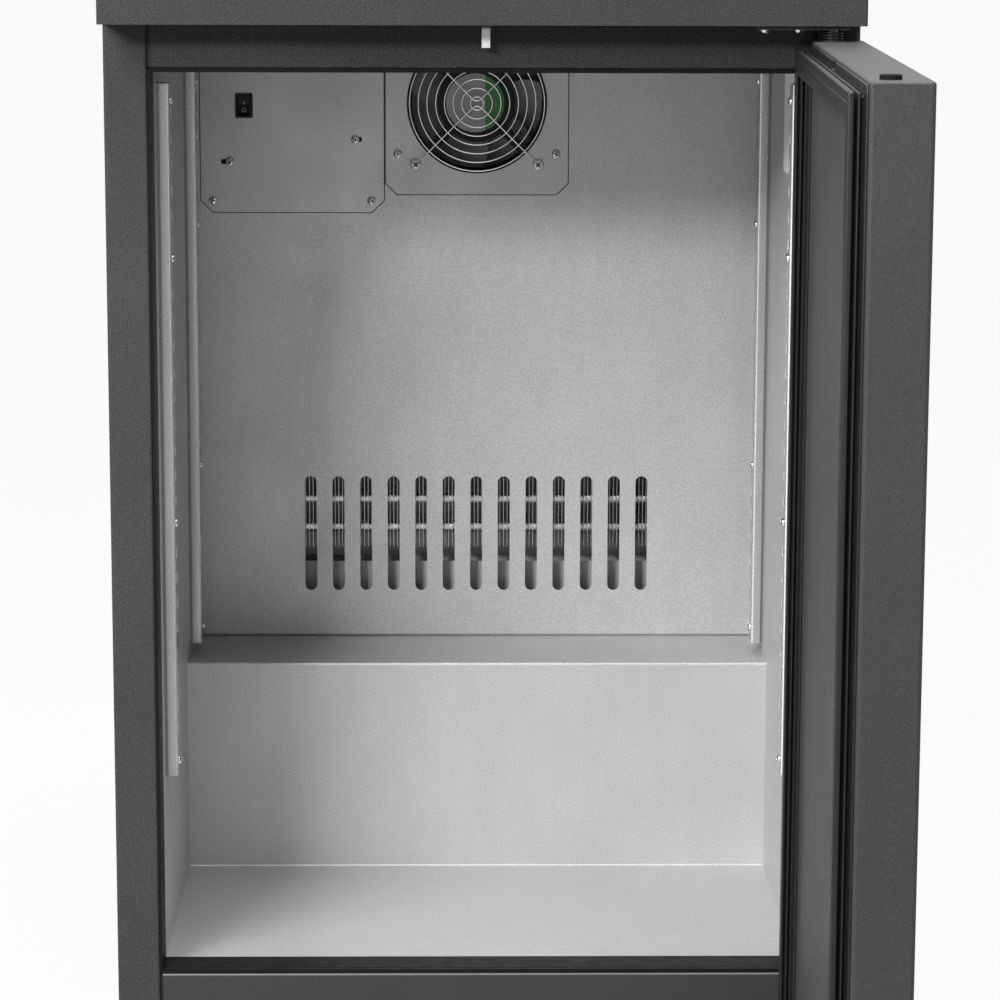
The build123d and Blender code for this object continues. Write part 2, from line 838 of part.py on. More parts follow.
with BuildPart() as panel_screws:
    for x, z in panel_screw_places:
        seat = Plane(origin=(x, plate_front, z), x_dir=(1, 0, 0), z_dir=(0, -1, 0))
        dome_screw(seat, dome_head_radius, dome_head_height, screw_radius, 5 * sheet)
panel_screws.part.label = "panel_screws"
export_step(panel_screws.part, "parts/panel_screws.step")

rocker_pivot_y = plate_front + rocker_pivot_depth
key_half_width = rocker_body_width / 2 - rocker_wall - rocker_key_gap
key_half_height = rocker_key_height / 2
rocker_seat = (rocker_x, rocker_z)

with BuildPart() as rocker_bezel:
    with BuildSketch(front_plane(plate_front)):
        with Locations(rocker_seat):
            RectangleRounded(bezel_width, bezel_height, sheet)
    extrude(amount=bezel_thickness)
    chamfer(rocker_bezel.faces().sort_by(Axis.Y)[0].edges(), bezel_thickness / 4)
    with BuildSketch(front_plane(plate_front)):
        with Locations(rocker_seat):
            Rectangle(rocker_body_width, rocker_body_height)
    extrude(amount=-rocker_body_depth)
    with BuildSketch(front_plane(plate_front - bezel_thickness)):
        with Locations(rocker_seat):
            Rectangle(rocker_body_width - 2 * rocker_wall, rocker_body_height - 2 * rocker_wall)
    extrude(amount=-(bezel_thickness + rocker_body_depth / 2), mode=Mode.SUBTRACT)
    with Locations((rocker_x, rocker_pivot_y, rocker_z)):
        Cylinder(
            rocker_axle_radius + running_clearance,
            rocker_body_width - rocker_wall / 2,
            rotation=(0, 90, 0),
            mode=Mode.SUBTRACT,
        )
rocker_bezel.part.label = "rocker_bezel"
export_step(rocker_bezel.part, "parts/rocker_bezel.step")

# The key is a shallow V in front of its axle, tilted so that its upper half is pressed in
with BuildPart() as rocker_key:
    origin = (rocker_x, rocker_pivot_y, rocker_z)
    tilted = turned_plane(Plane(origin=origin, x_dir=(0, 1, 0), z_dir=(1, 0, 0)), -rocker_tilt)
    with BuildSketch(tilted):
        with BuildLine():
            Polyline(
                (-rocker_key_front, key_half_height),
                (rocker_key_dip - rocker_key_front, 0),
                (-rocker_key_front, -key_half_height),
                (-rocker_key_shoulder, rocker_key_shoulder - key_half_height),
                (rocker_key_back, -rocker_key_back),
                (rocker_key_back, rocker_key_back),
                (-rocker_key_shoulder, key_half_height - rocker_key_shoulder),
                close=True,
            )
        make_face()
    extrude(amount=key_half_width, both=True)
    with BuildSketch(tilted):
        Circle(rocker_axle_radius)
    extrude(amount=rocker_body_width / 2 - rocker_wall + rocker_key_gap, both=True)
rocker_key.part.label = "rocker_key"
export_step(rocker_key.part, "parts/rocker_key.step")

# The fan's own plane: origin on its front face, Z pointing to the back
fan_plane = Plane(origin=(0, fan_front, fan_z), x_dir=(1, 0, 0), z_dir=(0, 1, 0))

with BuildPart() as fan_frame:
    for level in (0, fan_depth - fan_flange):
        with BuildSketch(fan_plane.offset(level)):
            RectangleRounded(fan_size, fan_size, fan_corner)
            Circle(fan_bore / 2, mode=Mode.SUBTRACT)
            with GridLocations(fan_screw_pitch, fan_screw_pitch, 2, 2):
                Circle(guard_screw_radius + hole_clearance, mode=Mode.SUBTRACT)
        extrude(amount=fan_flange)
    with BuildSketch(fan_plane):
        Circle(fan_size / 2)
        Circle(fan_bore / 2, mode=Mode.SUBTRACT)
    extrude(amount=fan_depth)
    with BuildSketch(fan_plane):
        Circle(stator_radius)
    extrude(amount=stator_depth)
    with BuildSketch(fan_plane):
        with PolarLocations((stator_radius + fan_bore / 2) / 2, 4, 45):
            Rectangle(fan_bore / 2 - stator_radius + strut_overlap, strut_width)
    extrude(amount=fan_flange)
    with BuildSketch(fan_plane.offset(stator_wall)):
        Circle(fan_shaft_radius + running_clearance)
    extrude(amount=stator_depth, mode=Mode.SUBTRACT)
fan_frame.part.label = "fan_frame"
export_step(fan_frame.part, "parts/fan_frame.step")

fan_wheel_depth = fan_depth - stator_depth - fan_wheel_gap - fan_wheel_setback
fan_wheel_plane = fan_plane.offset(stator_depth + fan_wheel_gap + fan_wheel_depth / 2)

with BuildPart() as fan_impeller:
    bladed_wheel(
        fan_wheel_plane,
        fan_hub_radius,
        blade_tip,
        fan_blades,
        chord=fan_blade_chord,
        depth=fan_wheel_depth,
        shaft_radius=fan_shaft_radius,
        shaft_reach=stator_depth - stator_wall,
    )
fan_impeller.part.label = "fan_impeller"
export_step(fan_impeller.part, "parts/fan_impeller.step")

# The guard stands off the plate; each diagonal wire comes down to a flat eyelet
guard_plane = Plane(origin=(0, guard_y, fan_z), x_dir=(1, 0, 0), z_dir=(0, -1, 0))
eyelet_reach = fan_screw_pitch / sqrt(2)
guard_edge = guard_inner_ring + (guard_ring_count - 1) * guard_ring_pitch

with BuildPart() as fan_guard:
    for index in range(guard_ring_count):
        radius = guard_inner_ring + index * guard_ring_pitch
        with BuildSketch(guard_plane.offset(-guard_wire / 2)):
            Circle(radius + guard_wire / 2)
            Circle(radius - guard_wire / 2, mode=Mode.SUBTRACT)
        extrude(amount=guard_wire)
    for index in range(4):
        turned = turned_plane(guard_plane, 45 + 90 * index)
        spoke = Plane(origin=turned.origin, x_dir=turned.x_dir, z_dir=-turned.y_dir)
        spoke_line = [
            (guard_inner_ring - guard_wire, guard_spoke_lift),
            (guard_edge + guard_overrun, guard_spoke_lift),
            (eyelet_reach - eyelet_radius - guard_toe, guard_wire / 2 - guard_stand_off),
            (eyelet_reach - eyelet_radius + guard_toe, guard_wire / 2 - guard_stand_off),
        ]
        extrude(
            folded_section(spoke, spoke_line, thickness=guard_wire, radius=guard_bend),
            amount=guard_wire / 2,
            both=True,
        )
    with BuildSketch(guard_plane.offset(-guard_stand_off)):
        with GridLocations(fan_screw_pitch, fan_screw_pitch, 2, 2):
            Circle(eyelet_radius)
            Circle(guard_screw_radius + hole_clearance, mode=Mode.SUBTRACT)
    extrude(amount=guard_wire)
fan_guard.part.label = "fan_guard"
export_step(fan_guard.part, "parts/fan_guard.step")

with BuildPart() as guard_screws:
    for x, z in guard_screw_places:
        seat = Plane(origin=(x, plate_front - guard_wire, z), x_dir=(1, 0, 0), z_dir=(0, -1, 0))
        reach = guard_wire + 2 * sheet + fan_flange
        dome_screw(seat, washer_head_radius, washer_head_height, guard_screw_radius, reach)
guard_screws.part.label = "guard_screws"
export_step(guard_screws.part, "parts/guard_screws.step")

# Evaporator behind the cover

coil_back = liner_back - coil_rear_gap
coil_front = coil_back - coil_depth

with BuildPart() as evaporator_coil:
    block_between(
        -coil_half_width, coil_half_width, coil_front, coil_back, coil_bottom, coil_bottom + coil_height
    )
    with BuildSketch(front_plane(coil_front)):
        with Locations((0, coil_bottom + coil_height / 2)):
            with GridLocations(fin_pitch * 2, 1, int(coil_half_width / fin_pitch) - 1, 1):
                Rectangle(2 * fin_gap, coil_height + fin_margin)
    extrude(amount=-(coil_depth - fin_gap), mode=Mode.SUBTRACT)
    for side in (-1, 1):
        edges = sorted((side * coil_half_width, side * (coil_half_width + sheet)))
        block_between(
            *edges,
            coil_front - coil_plate_front,
            liner_back,
            coil_bottom - coil_plate_margin,
            coil_bottom + coil_height + coil_plate_margin,
        )
evaporator_coil.part.label = "evaporator_coil"
export_step(evaporator_coil.part, "parts/evaporator_coil.step")

with BuildPart() as drip_tray:
    tray_back = liner_back - fold_radius
    block_between(
        -tray_half_width,
        tray_half_width,
        tray_back - tray_depth,
        tray_back,
        hump_top,
        hump_top + tray_height,
    )
    offset(amount=-sheet, openings=drip_tray.faces().sort_by(Axis.Z)[-1])
    with Locations((drain_x, liquid_y, hump_top)):
        Cylinder(drain_radius - pan_sheet, 4 * sheet, mode=Mode.SUBTRACT)
drip_tray.part.label = "drip_tray"
export_step(drip_tray.part, "parts/drip_tray.step")

with BuildPart() as drain_tube:
    with BuildSketch(Plane.XY.offset(hump_top)):
        with Locations((drain_x, liquid_y)):
            Circle(drain_radius)
            Circle(drain_radius - pan_sheet, mode=Mode.SUBTRACT)
    extrude(amount=-(hump_top - 2 * pan_rim))
drain_tube.part.label = "drain_tube"
export_step(drain_tube.part, "parts/drain_tube.step")

# Machine bay

mount_top = pan_sheet + mount_height
shell_bottom = mount_top + compressor_plate_thickness
port_x = compressor_x + compressor_radius + port_reach
suction_port = (port_x, compressor_y, suction_port_z)
discharge_port = (port_x, compressor_y - compressor_radius / 2, discharge_port_z)

with BuildPart() as compressor:
    with BuildSketch(Plane(origin=(compressor_x, compressor_y, 0), x_dir=(1, 0, 0), z_dir=(0, -1, 0))):
        seam_z = (shell_bottom + compressor_top) / 2
        can_bottom = shell_bottom - sheet
        can_radius = compressor_radius - compressor_seam
        shoulder = (can_radius, compressor_top - compressor_shoulder)
        crown = (compressor_radius - compressor_crown_inset, compressor_top - compressor_crown_drop)
        with BuildLine():
            Polyline(
                (0, can_bottom),
                (compressor_radius - compressor_foot_inset, can_bottom),
                (can_radius, shell_bottom + compressor_foot_rise),
                (can_radius, seam_z - compressor_seam_half),
                (compressor_radius, seam_z - compressor_seam_half),
                (compressor_radius, seam_z + compressor_seam_half),
                (can_radius, seam_z + compressor_seam_half),
                shoulder,
            )
            TangentArc(shoulder, crown, tangent=(0, 1))
            Polyline(crown, (0, compressor_top), (0, can_bottom))
        make_face()
    revolve(axis=Axis((compressor_x, compressor_y, 0), (0, 0, 1)))
    for (x, y, z), radius in ((suction_port, suction_radius), (discharge_port, liquid_radius)):
        with BuildSketch(Plane(origin=(x, y, z), z_dir=(-1, 0, 0))):
            Circle(radius + pipe_clearance)
        extrude(amount=port_length)
    with BuildSketch(Plane.XY.offset(mount_top)):
        with Locations((compressor_x, compressor_y)):
            RectangleRounded(*compressor_plate, mount_radius)
        with Locations(*mount_places):
            Circle(mount_stud_radius + hole_clearance, mode=Mode.SUBTRACT)
    extrude(amount=compressor_plate_thickness)
compressor.part.label = "compressor"
export_step(compressor.part, "parts/compressor.step")

with BuildPart() as compressor_terminal_box:
    box_x = compressor_x - compressor_radius
    box_bottom = shell_bottom + terminal_box_rise
    block_between(
        box_x - terminal_box[0] + terminal_box_overlap,
        box_x + terminal_box_overlap,
        compressor_y - terminal_box[1] / 2,
        compressor_y + terminal_box[1] / 2,
        box_bottom,
        box_bottom + terminal_box[2],
    )
    fillet(compressor_terminal_box.faces().sort_by(Axis.X)[0].edges(), terminal_box_edge)
    with Locations((compressor_x, compressor_y, (box_bottom + compressor_top) / 2)):
        Cylinder(can_radius + hole_clearance, compressor_top, mode=Mode.SUBTRACT)
    with Locations((compressor_x, compressor_y, seam_z)):
        Cylinder(compressor_radius + hole_clearance, 4 * compressor_seam_half, mode=Mode.SUBTRACT)
compressor_terminal_box.part.label = "compressor_terminal_box"
export_step(compressor_terminal_box.part, "parts/compressor_terminal_box.step")

with BuildPart() as compressor_mounts:
    level = pan_sheet
    for radius, height in (
        (mount_radius, mount_flange),
        (mount_radius - mount_neck_inset, mount_neck),
        (mount_radius, mount_height - mount_flange - mount_neck),
    ):
        with BuildSketch(Plane.XY.offset(level)):
            with Locations(*mount_places):
                Circle(radius)
                Circle(mount_stud_radius + hole_clearance, mode=Mode.SUBTRACT)
        extrude(amount=height)
        level += height
compressor_mounts.part.label = "compressor_mounts"
export_step(compressor_mounts.part, "parts/compressor_mounts.step")

condenser_bottom = pan_sheet + condenser_rise
condenser_top = condenser_bottom + condenser_height
condenser_left = condenser_y - condenser_width / 2
condenser_right = condenser_y + condenser_width / 2

with BuildPart() as condenser_coil:
    condenser_back = condenser_x + condenser_depth
    block_between(
        condenser_x,
        condenser_back,
        condenser_left,
        condenser_right,
        condenser_bottom,
        condenser_top,
    )
    groove_count = int(condenser_width / fin_pitch) - 1
    with Locations((condenser_back, condenser_y, (condenser_bottom + condenser_top) / 2)):
        with GridLocations(1, fin_pitch, 1, groove_count):
            Box(
                2 * (condenser_depth - tube_core),
                fin_gap,
                condenser_height - 2 * fin_margin,
                mode=Mode.SUBTRACT,
            )
    for y in (condenser_left - pan_sheet, condenser_right):
        block_between(
            condenser_x, condenser_back, y, y + pan_sheet, pan_sheet, condenser_top + fin_margin
        )
condenser_coil.part.label = "condenser_coil"
export_step(condenser_coil.part, "parts/condenser_coil.step")

fan_centre_z = (condenser_bottom + condenser_top) / 2
condenser_fan_plane = Plane(
    origin=(condenser_x - shroud_thickness, condenser_y, fan_centre_z), x_dir=(0, 1, 0), z_dir=(-1, 0, 0)
)
ring_radius = condenser_fan_radius + shroud_thickness

with BuildPart() as condenser_fan_shroud:
    with BuildSketch(condenser_fan_plane):
        Rectangle(condenser_width + 2 * pan_sheet, condenser_height + 2 * fin_margin)
        Circle(ring_radius, mode=Mode.SUBTRACT)
    extrude(amount=-shroud_thickness)
    with BuildSketch(condenser_fan_plane):
        Circle(ring_radius + shroud_thickness)
        Circle(ring_radius, mode=Mode.SUBTRACT)
    extrude(amount=condenser_ring_depth + condenser_strut_depth)
    with BuildSketch(condenser_fan_plane.offset(condenser_ring_depth)):
        with PolarLocations((condenser_motor_radius + ring_radius) / 2, 3, 90):
            Rectangle(ring_radius - condenser_motor_radius + shroud_thickness, condenser_strut)
        Circle(condenser_motor_radius)
    extrude(amount=condenser_strut_depth)
    with BuildSketch(condenser_fan_plane.offset(condenser_ring_depth)):
        Circle(condenser_motor_radius)
    extrude(amount=condenser_motor_length)
    with BuildSketch(condenser_fan_plane.offset(condenser_ring_depth)):
        Circle(fan_shaft_radius + running_clearance)
    extrude(amount=condenser_shaft_hole, mode=Mode.SUBTRACT)
condenser_fan_shroud.part.label = "condenser_fan_shroud"
export_step(condenser_fan_shroud.part, "parts/condenser_fan_shroud.step")

with BuildPart() as condenser_fan_impeller:
    wheel_depth = condenser_ring_depth - condenser_strut_depth
    wheel_level = condenser_ring_depth - condenser_wheel_gap - wheel_depth / 2
    back_plane = Plane(
        origin=condenser_fan_plane.from_local_coords((0, 0, wheel_level)),
        x_dir=(0, 1, 0),
        z_dir=(1, 0, 0),
    )
    bladed_wheel(
        back_plane,
        condenser_hub_radius,
        condenser_fan_radius,
        condenser_blades,
        chord=condenser_blade_chord,
        depth=wheel_depth,
        shaft_radius=fan_shaft_radius,
        shaft_reach=condenser_shaft_reach,
    )
condenser_fan_impeller.part.label = "condenser_fan_impeller"
export_step(condenser_fan_impeller.part, "parts/condenser_fan_impeller.step")

drier_top = drier_bottom + drier_length
drier_mouth = liquid_radius + sheet

with BuildPart() as filter_drier:
    with BuildSketch(Plane(origin=(liquid_x, liquid_y, 0), x_dir=(1, 0, 0), z_dir=(0, -1, 0))):
        with BuildLine():
            Polyline(
                (0, drier_bottom),
                (drier_mouth, drier_bottom),
                (drier_mouth, drier_bottom + drier_neck),
                (drier_radius, drier_bottom + drier_neck + drier_taper),
                (drier_radius, drier_top - drier_neck - drier_taper),
                (drier_mouth, drier_top - drier_neck),
                (drier_mouth, drier_top),
                (0, drier_top),
                close=True,
            )
        make_face()
    revolve(axis=Axis((liquid_x, liquid_y, 0), (0, 0, 1)))
filter_drier.part.label = "filter_drier"
export_step(filter_drier.part, "parts/filter_drier.step")

coil_end = coil_half_width + sheet
run_z = bay_height - pipe_run_drop

with BuildPart() as suction_line:
    suction_route = [
        (coil_end, suction_y, coil_bottom + suction_coil_rise),
        (suction_x, suction_y, coil_bottom + suction_coil_rise),
        (suction_x, suction_y, run_z),
        (suction_x, compressor_y, run_z),
        (port_x + suction_run, compressor_y, run_z),
        (port_x + suction_run, compressor_y, suction_port_z),
        suction_port,
    ]
    pipe(suction_route, suction_radius, pipe_bend)
suction_line.part.label = "suction_line"
export_step(suction_line.part, "parts/suction_line.step")

with BuildPart() as liquid_line:
    outlet_y = condenser_left + shroud_thickness
    outlet_z = condenser_bottom + condenser_outlet_rise
    lower_route = [
        (condenser_back, outlet_y, outlet_z),
        (liquid_x, outlet_y, outlet_z),
        (liquid_x, liquid_y, outlet_z),
        (liquid_x, liquid_y, drier_bottom),
    ]
    upper_route = [
        (liquid_x, liquid_y, drier_top),
        (liquid_x, liquid_y, coil_bottom + liquid_coil_rise),
        (coil_end, liquid_y, coil_bottom + liquid_coil_rise),
    ]
    pipe(lower_route, liquid_radius, pipe_bend)
    pipe(upper_route, liquid_radius, pipe_bend)
liquid_line.part.label = "liquid_line"
export_step(liquid_line.part, "parts/liquid_line.step")

with BuildPart() as discharge_line:
    port_y = discharge_port[1]
    inlet_x = condenser_x + condenser_depth / 2
    discharge_run_z = run_z - discharge_run_drop
    discharge_route = [
        discharge_port,
        (port_x + discharge_run, port_y, discharge_port_z),
        (port_x + discharge_run, port_y, discharge_run_z),
        (inlet_x, port_y, discharge_run_z),
        (inlet_x, port_y, condenser_top),
    ]
    pipe(discharge_route, liquid_radius, pipe_bend)
discharge_line.part.label = "discharge_line"
export_step(discharge_line.part, "parts/discharge_line.step")

# Feet

for name, (x, y) in foot_places.items():
    with BuildPart() as foot:
        with BuildSketch(Plane(origin=(x, y, -foot_height), x_dir=(1, 0, 0), z_dir=(0, -1, 0))):
            with BuildLine():
                Polyline(
                    (0, 0),
                    (foot_pad_radius - 1, 0),
                    (foot_pad_radius, 1),
                    (foot_pad_radius, 3),
                    (foot_hex / 2 + 1, foot_pad_height),
                    (0, foot_pad_height),
                    close=True,
                )
            make_face()
        revolve(axis=Axis((x, y, 0), (0, 0, 1)))
        with BuildSketch(Plane.XY.offset(foot_pad_height - foot_height)):
            with Locations((x, y)):
                RegularPolygon(foot_hex / 2, 6, major_radius=False)
        extrude(amount=foot_hex_height)
        with BuildSketch(Plane.XY.offset(foot_pad_height - foot_height)):
            with Locations((x, y)):
                Circle(stud_radius)
        extrude(amount=foot_height - foot_pad_height + stud_reach)
    foot.part.label = f"foot_{name}"
    export_step(foot.part, f"parts/foot_{name}.step")

# Hinge plates, pins and the spring round the upper pin

with BuildPart() as upper_hinge_plate:
    with BuildSketch(Plane.XY.offset(lip_bottom)):
        rectangle_between(
            hinge_x - hinge_plate_reach,
            hinge_x + hinge_plate_margin,
            hinge_y - hinge_plate_front,
            hinge_y + upper_plate_back,
            3 * sheet,
        )
        with Locations((hinge_x, hinge_y)):
            Circle(pin_radius + hole_clearance, mode=Mode.SUBTRACT)
        with Locations(*hinge_screw_places):
            Circle(hinge_screw_radius + hole_clearance, mode=Mode.SUBTRACT)
    extrude(amount=-hinge_plate)
upper_hinge_plate.part.label = "upper_hinge_plate"
export_step(upper_hinge_plate.part, "parts/upper_hinge_plate.step")

with BuildPart() as lower_hinge_plate:
    with BuildSketch():
        rectangle_between(
            hinge_x - hinge_plate_reach,
            hinge_x + hinge_plate_margin,
            hinge_y - hinge_plate_front,
            hinge_y + lower_plate_back,
            3 * sheet,
        )
        with Locations((hinge_x, hinge_y)):
            Circle(pin_radius + hole_clearance, mode=Mode.SUBTRACT)
        with Locations(*lower_screw_places):
            Circle(hinge_screw_radius + hole_clearance, mode=Mode.SUBTRACT)
    extrude(amount=-hinge_plate)
lower_hinge_plate.part.label = "lower_hinge_plate"
export_step(lower_hinge_plate.part, "parts/lower_hinge_plate.step")

with BuildPart() as hinge_screws:
    for x, y in hinge_screw_places:
        seat = Plane(origin=(x, y, lip_bottom - hinge_plate), x_dir=(1, 0, 0), z_dir=(0, 0, -1))
        dome_screw(seat, hinge_head_radius, hinge_head_height, hinge_screw_radius, hinge_plate + sheet)
    for x, y in lower_screw_places:
        seat = Plane(origin=(x, y, -hinge_plate), x_dir=(1, 0, 0), z_dir=(0, 0, -1))
        dome_screw(seat, hinge_head_radius, hinge_head_height, hinge_screw_radius, hinge_plate + pan_sheet)
hinge_screws.part.label = "hinge_screws"
export_step(hinge_screws.part, "parts/hinge_screws.step")

with BuildPart() as hinge_pins:
    with BuildSketch(Plane.XY.offset(lip_bottom)):
        with Locations((hinge_x, hinge_y)):
            Circle(pin_radius)
    extrude(amount=-(lip_bottom - door_top + pin_reach))
    with BuildSketch(Plane.XY.offset(-hinge_plate)):
        with Locations((hinge_x, hinge_y)):
            Circle(pin_radius)
    extrude(amount=hinge_plate + door_bottom + pin_reach)
    with BuildSketch():
        with Locations((hinge_x, hinge_y)):
            Circle(collar_radius)
    extrude(amount=door_bottom - bush_flange - gasket_clearance)
hinge_pins.part.label = "hinge_pins"
export_step(hinge_pins.part, "parts/hinge_pins.step")

spring_bottom = door_top + bush_flange + gasket_clearance + spring_wire / 2
spring_top = lip_bottom - hinge_plate - spring_end_gap - spring_wire / 2
spring_pitch = (spring_top - spring_bottom) / spring_turns


def spring_point(turn):
    angle = 2 * pi * turn
    height = spring_bottom + spring_pitch * turn
    return Vector(hinge_x + spring_radius * cos(angle), hinge_y + spring_radius * sin(angle), height)


def spring_heading(turn):
    angle = 2 * pi * turn
    rise = spring_pitch / (2 * pi * spring_radius)
    return Vector(-sin(angle), cos(angle), rise).normalized()


# Each quarter turn is two arcs that meet with a common tangent
with BuildPart() as hinge_spring:
    with BuildLine() as coil:
        quarters = int(spring_turns * 4)
        for quarter in range(quarters):
            start, end = spring_point(quarter / 4), spring_point((quarter + 1) / 4)
            heading, leaving = spring_heading(quarter / 4), spring_heading((quarter + 1) / 4)
            chord = end - start
            total = heading + leaving
            opening = 2 * (1 - heading.dot(leaving))
            along = chord.dot(total)
            arm = (sqrt(along**2 + opening * chord.dot(chord)) - along) / opening
            middle = ((start + heading * arm) + (end - leaving * arm)) / 2
            TangentArc(start, middle, tangent=heading)
            TangentArc(middle, end, tangent=(end - leaving * arm) - (start + heading * arm))
    with BuildSketch(Plane(origin=coil.wire() @ 0, z_dir=coil.wire() % 0)):
        Circle(spring_wire / 2)
    sweep(path=coil.wire())
hinge_spring.part.label = "hinge_spring"
export_step(hinge_spring.part, "parts/hinge_spring.step")

samples = [spring_point(step / 48) for step in range(spring_turns * 48 + 1)]
spring_gap = min(
    (samples[i] - samples[j]).length for i in range(len(samples)) for j in range(i + 24, len(samples))
)
print(f"spring: least gap to itself {spring_gap - spring_wire:.2f} mm")

# Door switch under the lip

lever_y = hinge_y + hinge_edge + lever_gap + lever_thickness / 2
axle_z = lip_bottom - axle_drop

with BuildPart() as door_switch_bracket:
    with BuildSketch(Plane.XY.offset(lip_bottom)):
        rectangle_between(
            -switch_plate_width / 2,
            switch_plate_width / 2,
            lever_y - switch_plate_depth / 2,
            lever_y + switch_plate_depth / 2,
            sheet,
        )
        with Locations((lever_x, lever_y)):
            Rectangle(lever_width + 2 * lever_gap, lever_thickness + 4, mode=Mode.SUBTRACT)
    extrude(amount=-switch_plate_thickness)
    with BuildSketch(Plane.XY.offset(lip_bottom)):
        with Locations((lever_x, lever_y)):
            with GridLocations(lever_width + 2 * lever_gap + ear_thickness, 1, 2, 1):
                Rectangle(ear_thickness, lever_thickness + 2)
    extrude(amount=-ear_drop)
    with Locations((lever_x, lever_y, axle_z)):
        Cylinder(axle_radius, lever_width + 2 * lever_gap + 2 * ear_thickness, rotation=(0, 90, 0))
door_switch_bracket.part.label = "door_switch_bracket"
export_step(door_switch_bracket.part, "parts/door_switch_bracket.step")

with BuildPart() as door_switch_lever:
    with BuildSketch(Plane(origin=(lever_x, lever_y, axle_z), x_dir=(0, 1, 0), z_dir=(1, 0, 0))) as blade:
        Circle(lever_thickness / 2)
        rectangle_between(-lever_thickness / 2, lever_thickness / 2, axle_drop - lever_drop, 0)
        fillet(blade.vertices().group_by(Axis.Y)[0], lever_thickness / 4)
        Circle(axle_radius + running_clearance, mode=Mode.SUBTRACT)
    extrude(amount=lever_width / 2, both=True)
door_switch_lever.part.label = "door_switch_lever"
export_step(door_switch_lever.part, "parts/door_switch_lever.step")

# Door, drawn in its own frame: origin on the hinge axis, X towards its hinge side end
# when closed and Y towards the cabinet. The frame stands turned to the open rest pose.
turn = radians(door_rest_angle)
door_frame = Plane(origin=(hinge_x, hinge_y, 0), x_dir=(cos(turn), sin(turn), 0), z_dir=(0, 0, 1))


# A plane parallel to the door's faces at depth y, facing away from the cabinet
def door_face(y):
    return Plane(
        origin=door_frame.from_local_coords((0, y, 0)),
        x_dir=door_frame.x_dir,
        z_dir=-door_frame.y_dir,
    )


# A ring on the door's inner side, between two distances from the door's edge
def door_ring(y, outer_inset, inner_inset):
    with BuildSketch(door_face(y)) as ring:
        for inset, mode in ((outer_inset, Mode.ADD), (inner_inset, Mode.SUBTRACT)):
            rectangle_between(
                door_left + inset, door_right - inset, door_bottom + inset, door_top - inset, mode=mode
            )
    return ring.sketch


pivot_places = ((0, 0), (plug_x, 0))

with BuildPart() as door_skin:
    with BuildSketch(door_frame.offset(door_bottom)):
        rectangle_between(door_left, door_right, door_outside, hinge_edge, door_corner)
    extrude(amount=door_top - door_bottom)
    fillet(door_skin.faces().filter_by(Axis.Z).edges(), door_edge_radius)
    with BuildSketch(door_frame.offset(door_bottom + sheet)):
        rectangle_between(
            door_left + sheet,
            door_right - sheet,
            door_outside + sheet,
            hinge_edge - sheet,
            door_corner - sheet,
        )
    extrude(amount=door_top - door_bottom - 2 * sheet, mode=Mode.SUBTRACT)
    with BuildSketch(door_face(hinge_edge)):
        rectangle_between(
            door_left + door_flange,
            door_right - door_flange,
            door_bottom + door_flange,
            door_top - door_flange,
        )
    extrude(amount=sheet, mode=Mode.SUBTRACT)
    for level in (door_bottom, door_top - sheet):
        with BuildSketch(door_frame.offset(level)):
            with Locations(*pivot_places):
                Circle(bush_radius + hole_clearance)
        extrude(amount=sheet, mode=Mode.SUBTRACT)
door_skin.part.label = "door_skin"
export_step(door_skin.part, "parts/door_skin.step")

with BuildPart() as door_foam:
    with BuildSketch(door_frame.offset(door_bottom + sheet)):
        rectangle_between(
            door_left + sheet,
            door_right - sheet,
            door_outside + sheet,
            hinge_edge - 2 * sheet,
            door_corner - sheet,
        )
    extrude(amount=door_top - door_bottom - 2 * sheet)
    for level, depth in ((door_bottom, bush_length + sheet), (door_top, -bush_length - sheet)):
        with BuildSketch(door_frame.offset(level)):
            with Locations(*pivot_places):
                Circle(bush_radius + hole_clearance)
        extrude(amount=depth, mode=Mode.SUBTRACT)
door_foam.part.label = "door_foam"
export_step(door_foam.part, "parts/door_foam.step")

with BuildPart() as door_liner:
    with BuildSketch(door_face(hinge_edge - sheet)):
        rectangle_between(
            door_left + door_panel_lap,
            door_right - door_panel_lap,
            door_bottom + door_panel_lap,
            door_top - door_panel_lap,
        )
    extrude(amount=sheet)
door_liner.part.label = "door_liner"
export_step(door_liner.part, "parts/door_liner.step")

# Gasket, from the door outwards: foot, rib, neck and the rounded magnet strip
neck_outer = gasket_neck_inset
neck_inner = gasket_neck_inset + gasket_neck_width
rib_spread = (gasket_rib_width - gasket_neck_width) / 2
magnet_start = gasket_height - gasket_magnet

with BuildPart() as door_gasket:
    magnet_ring = door_ring(hinge_edge + gasket_height, gasket_inset, gasket_inset + gasket_face)
    extrude(magnet_ring, amount=gasket_magnet)
    fillet(door_gasket.edges(), gasket_magnet / 4)
    rib_ring = door_ring(
        hinge_edge + gasket_base_height + gasket_rib_height, neck_outer - rib_spread, neck_inner + rib_spread
    )
    extrude(rib_ring, amount=gasket_rib_height)
    extrude(door_ring(hinge_edge + magnet_start, neck_outer, neck_inner), amount=magnet_start)
door_gasket.part.label = "door_gasket"
export_step(door_gasket.part, "parts/door_gasket.step")

with BuildPart() as hinge_bushes:
    for level, up in ((door_top, 1), (door_bottom, -1)):
        with BuildSketch(door_frame.offset(level)):
            Circle(bush_flange_radius)
            Circle(pin_radius + running_clearance, mode=Mode.SUBTRACT)
        extrude(amount=up * bush_flange)
        with BuildSketch(door_frame.offset(level)):
            Circle(bush_radius)
            Circle(pin_radius + running_clearance, mode=Mode.SUBTRACT)
        extrude(amount=-up * bush_length)
hinge_bushes.part.label = "hinge_bushes"
export_step(hinge_bushes.part, "parts/hinge_bushes.step")

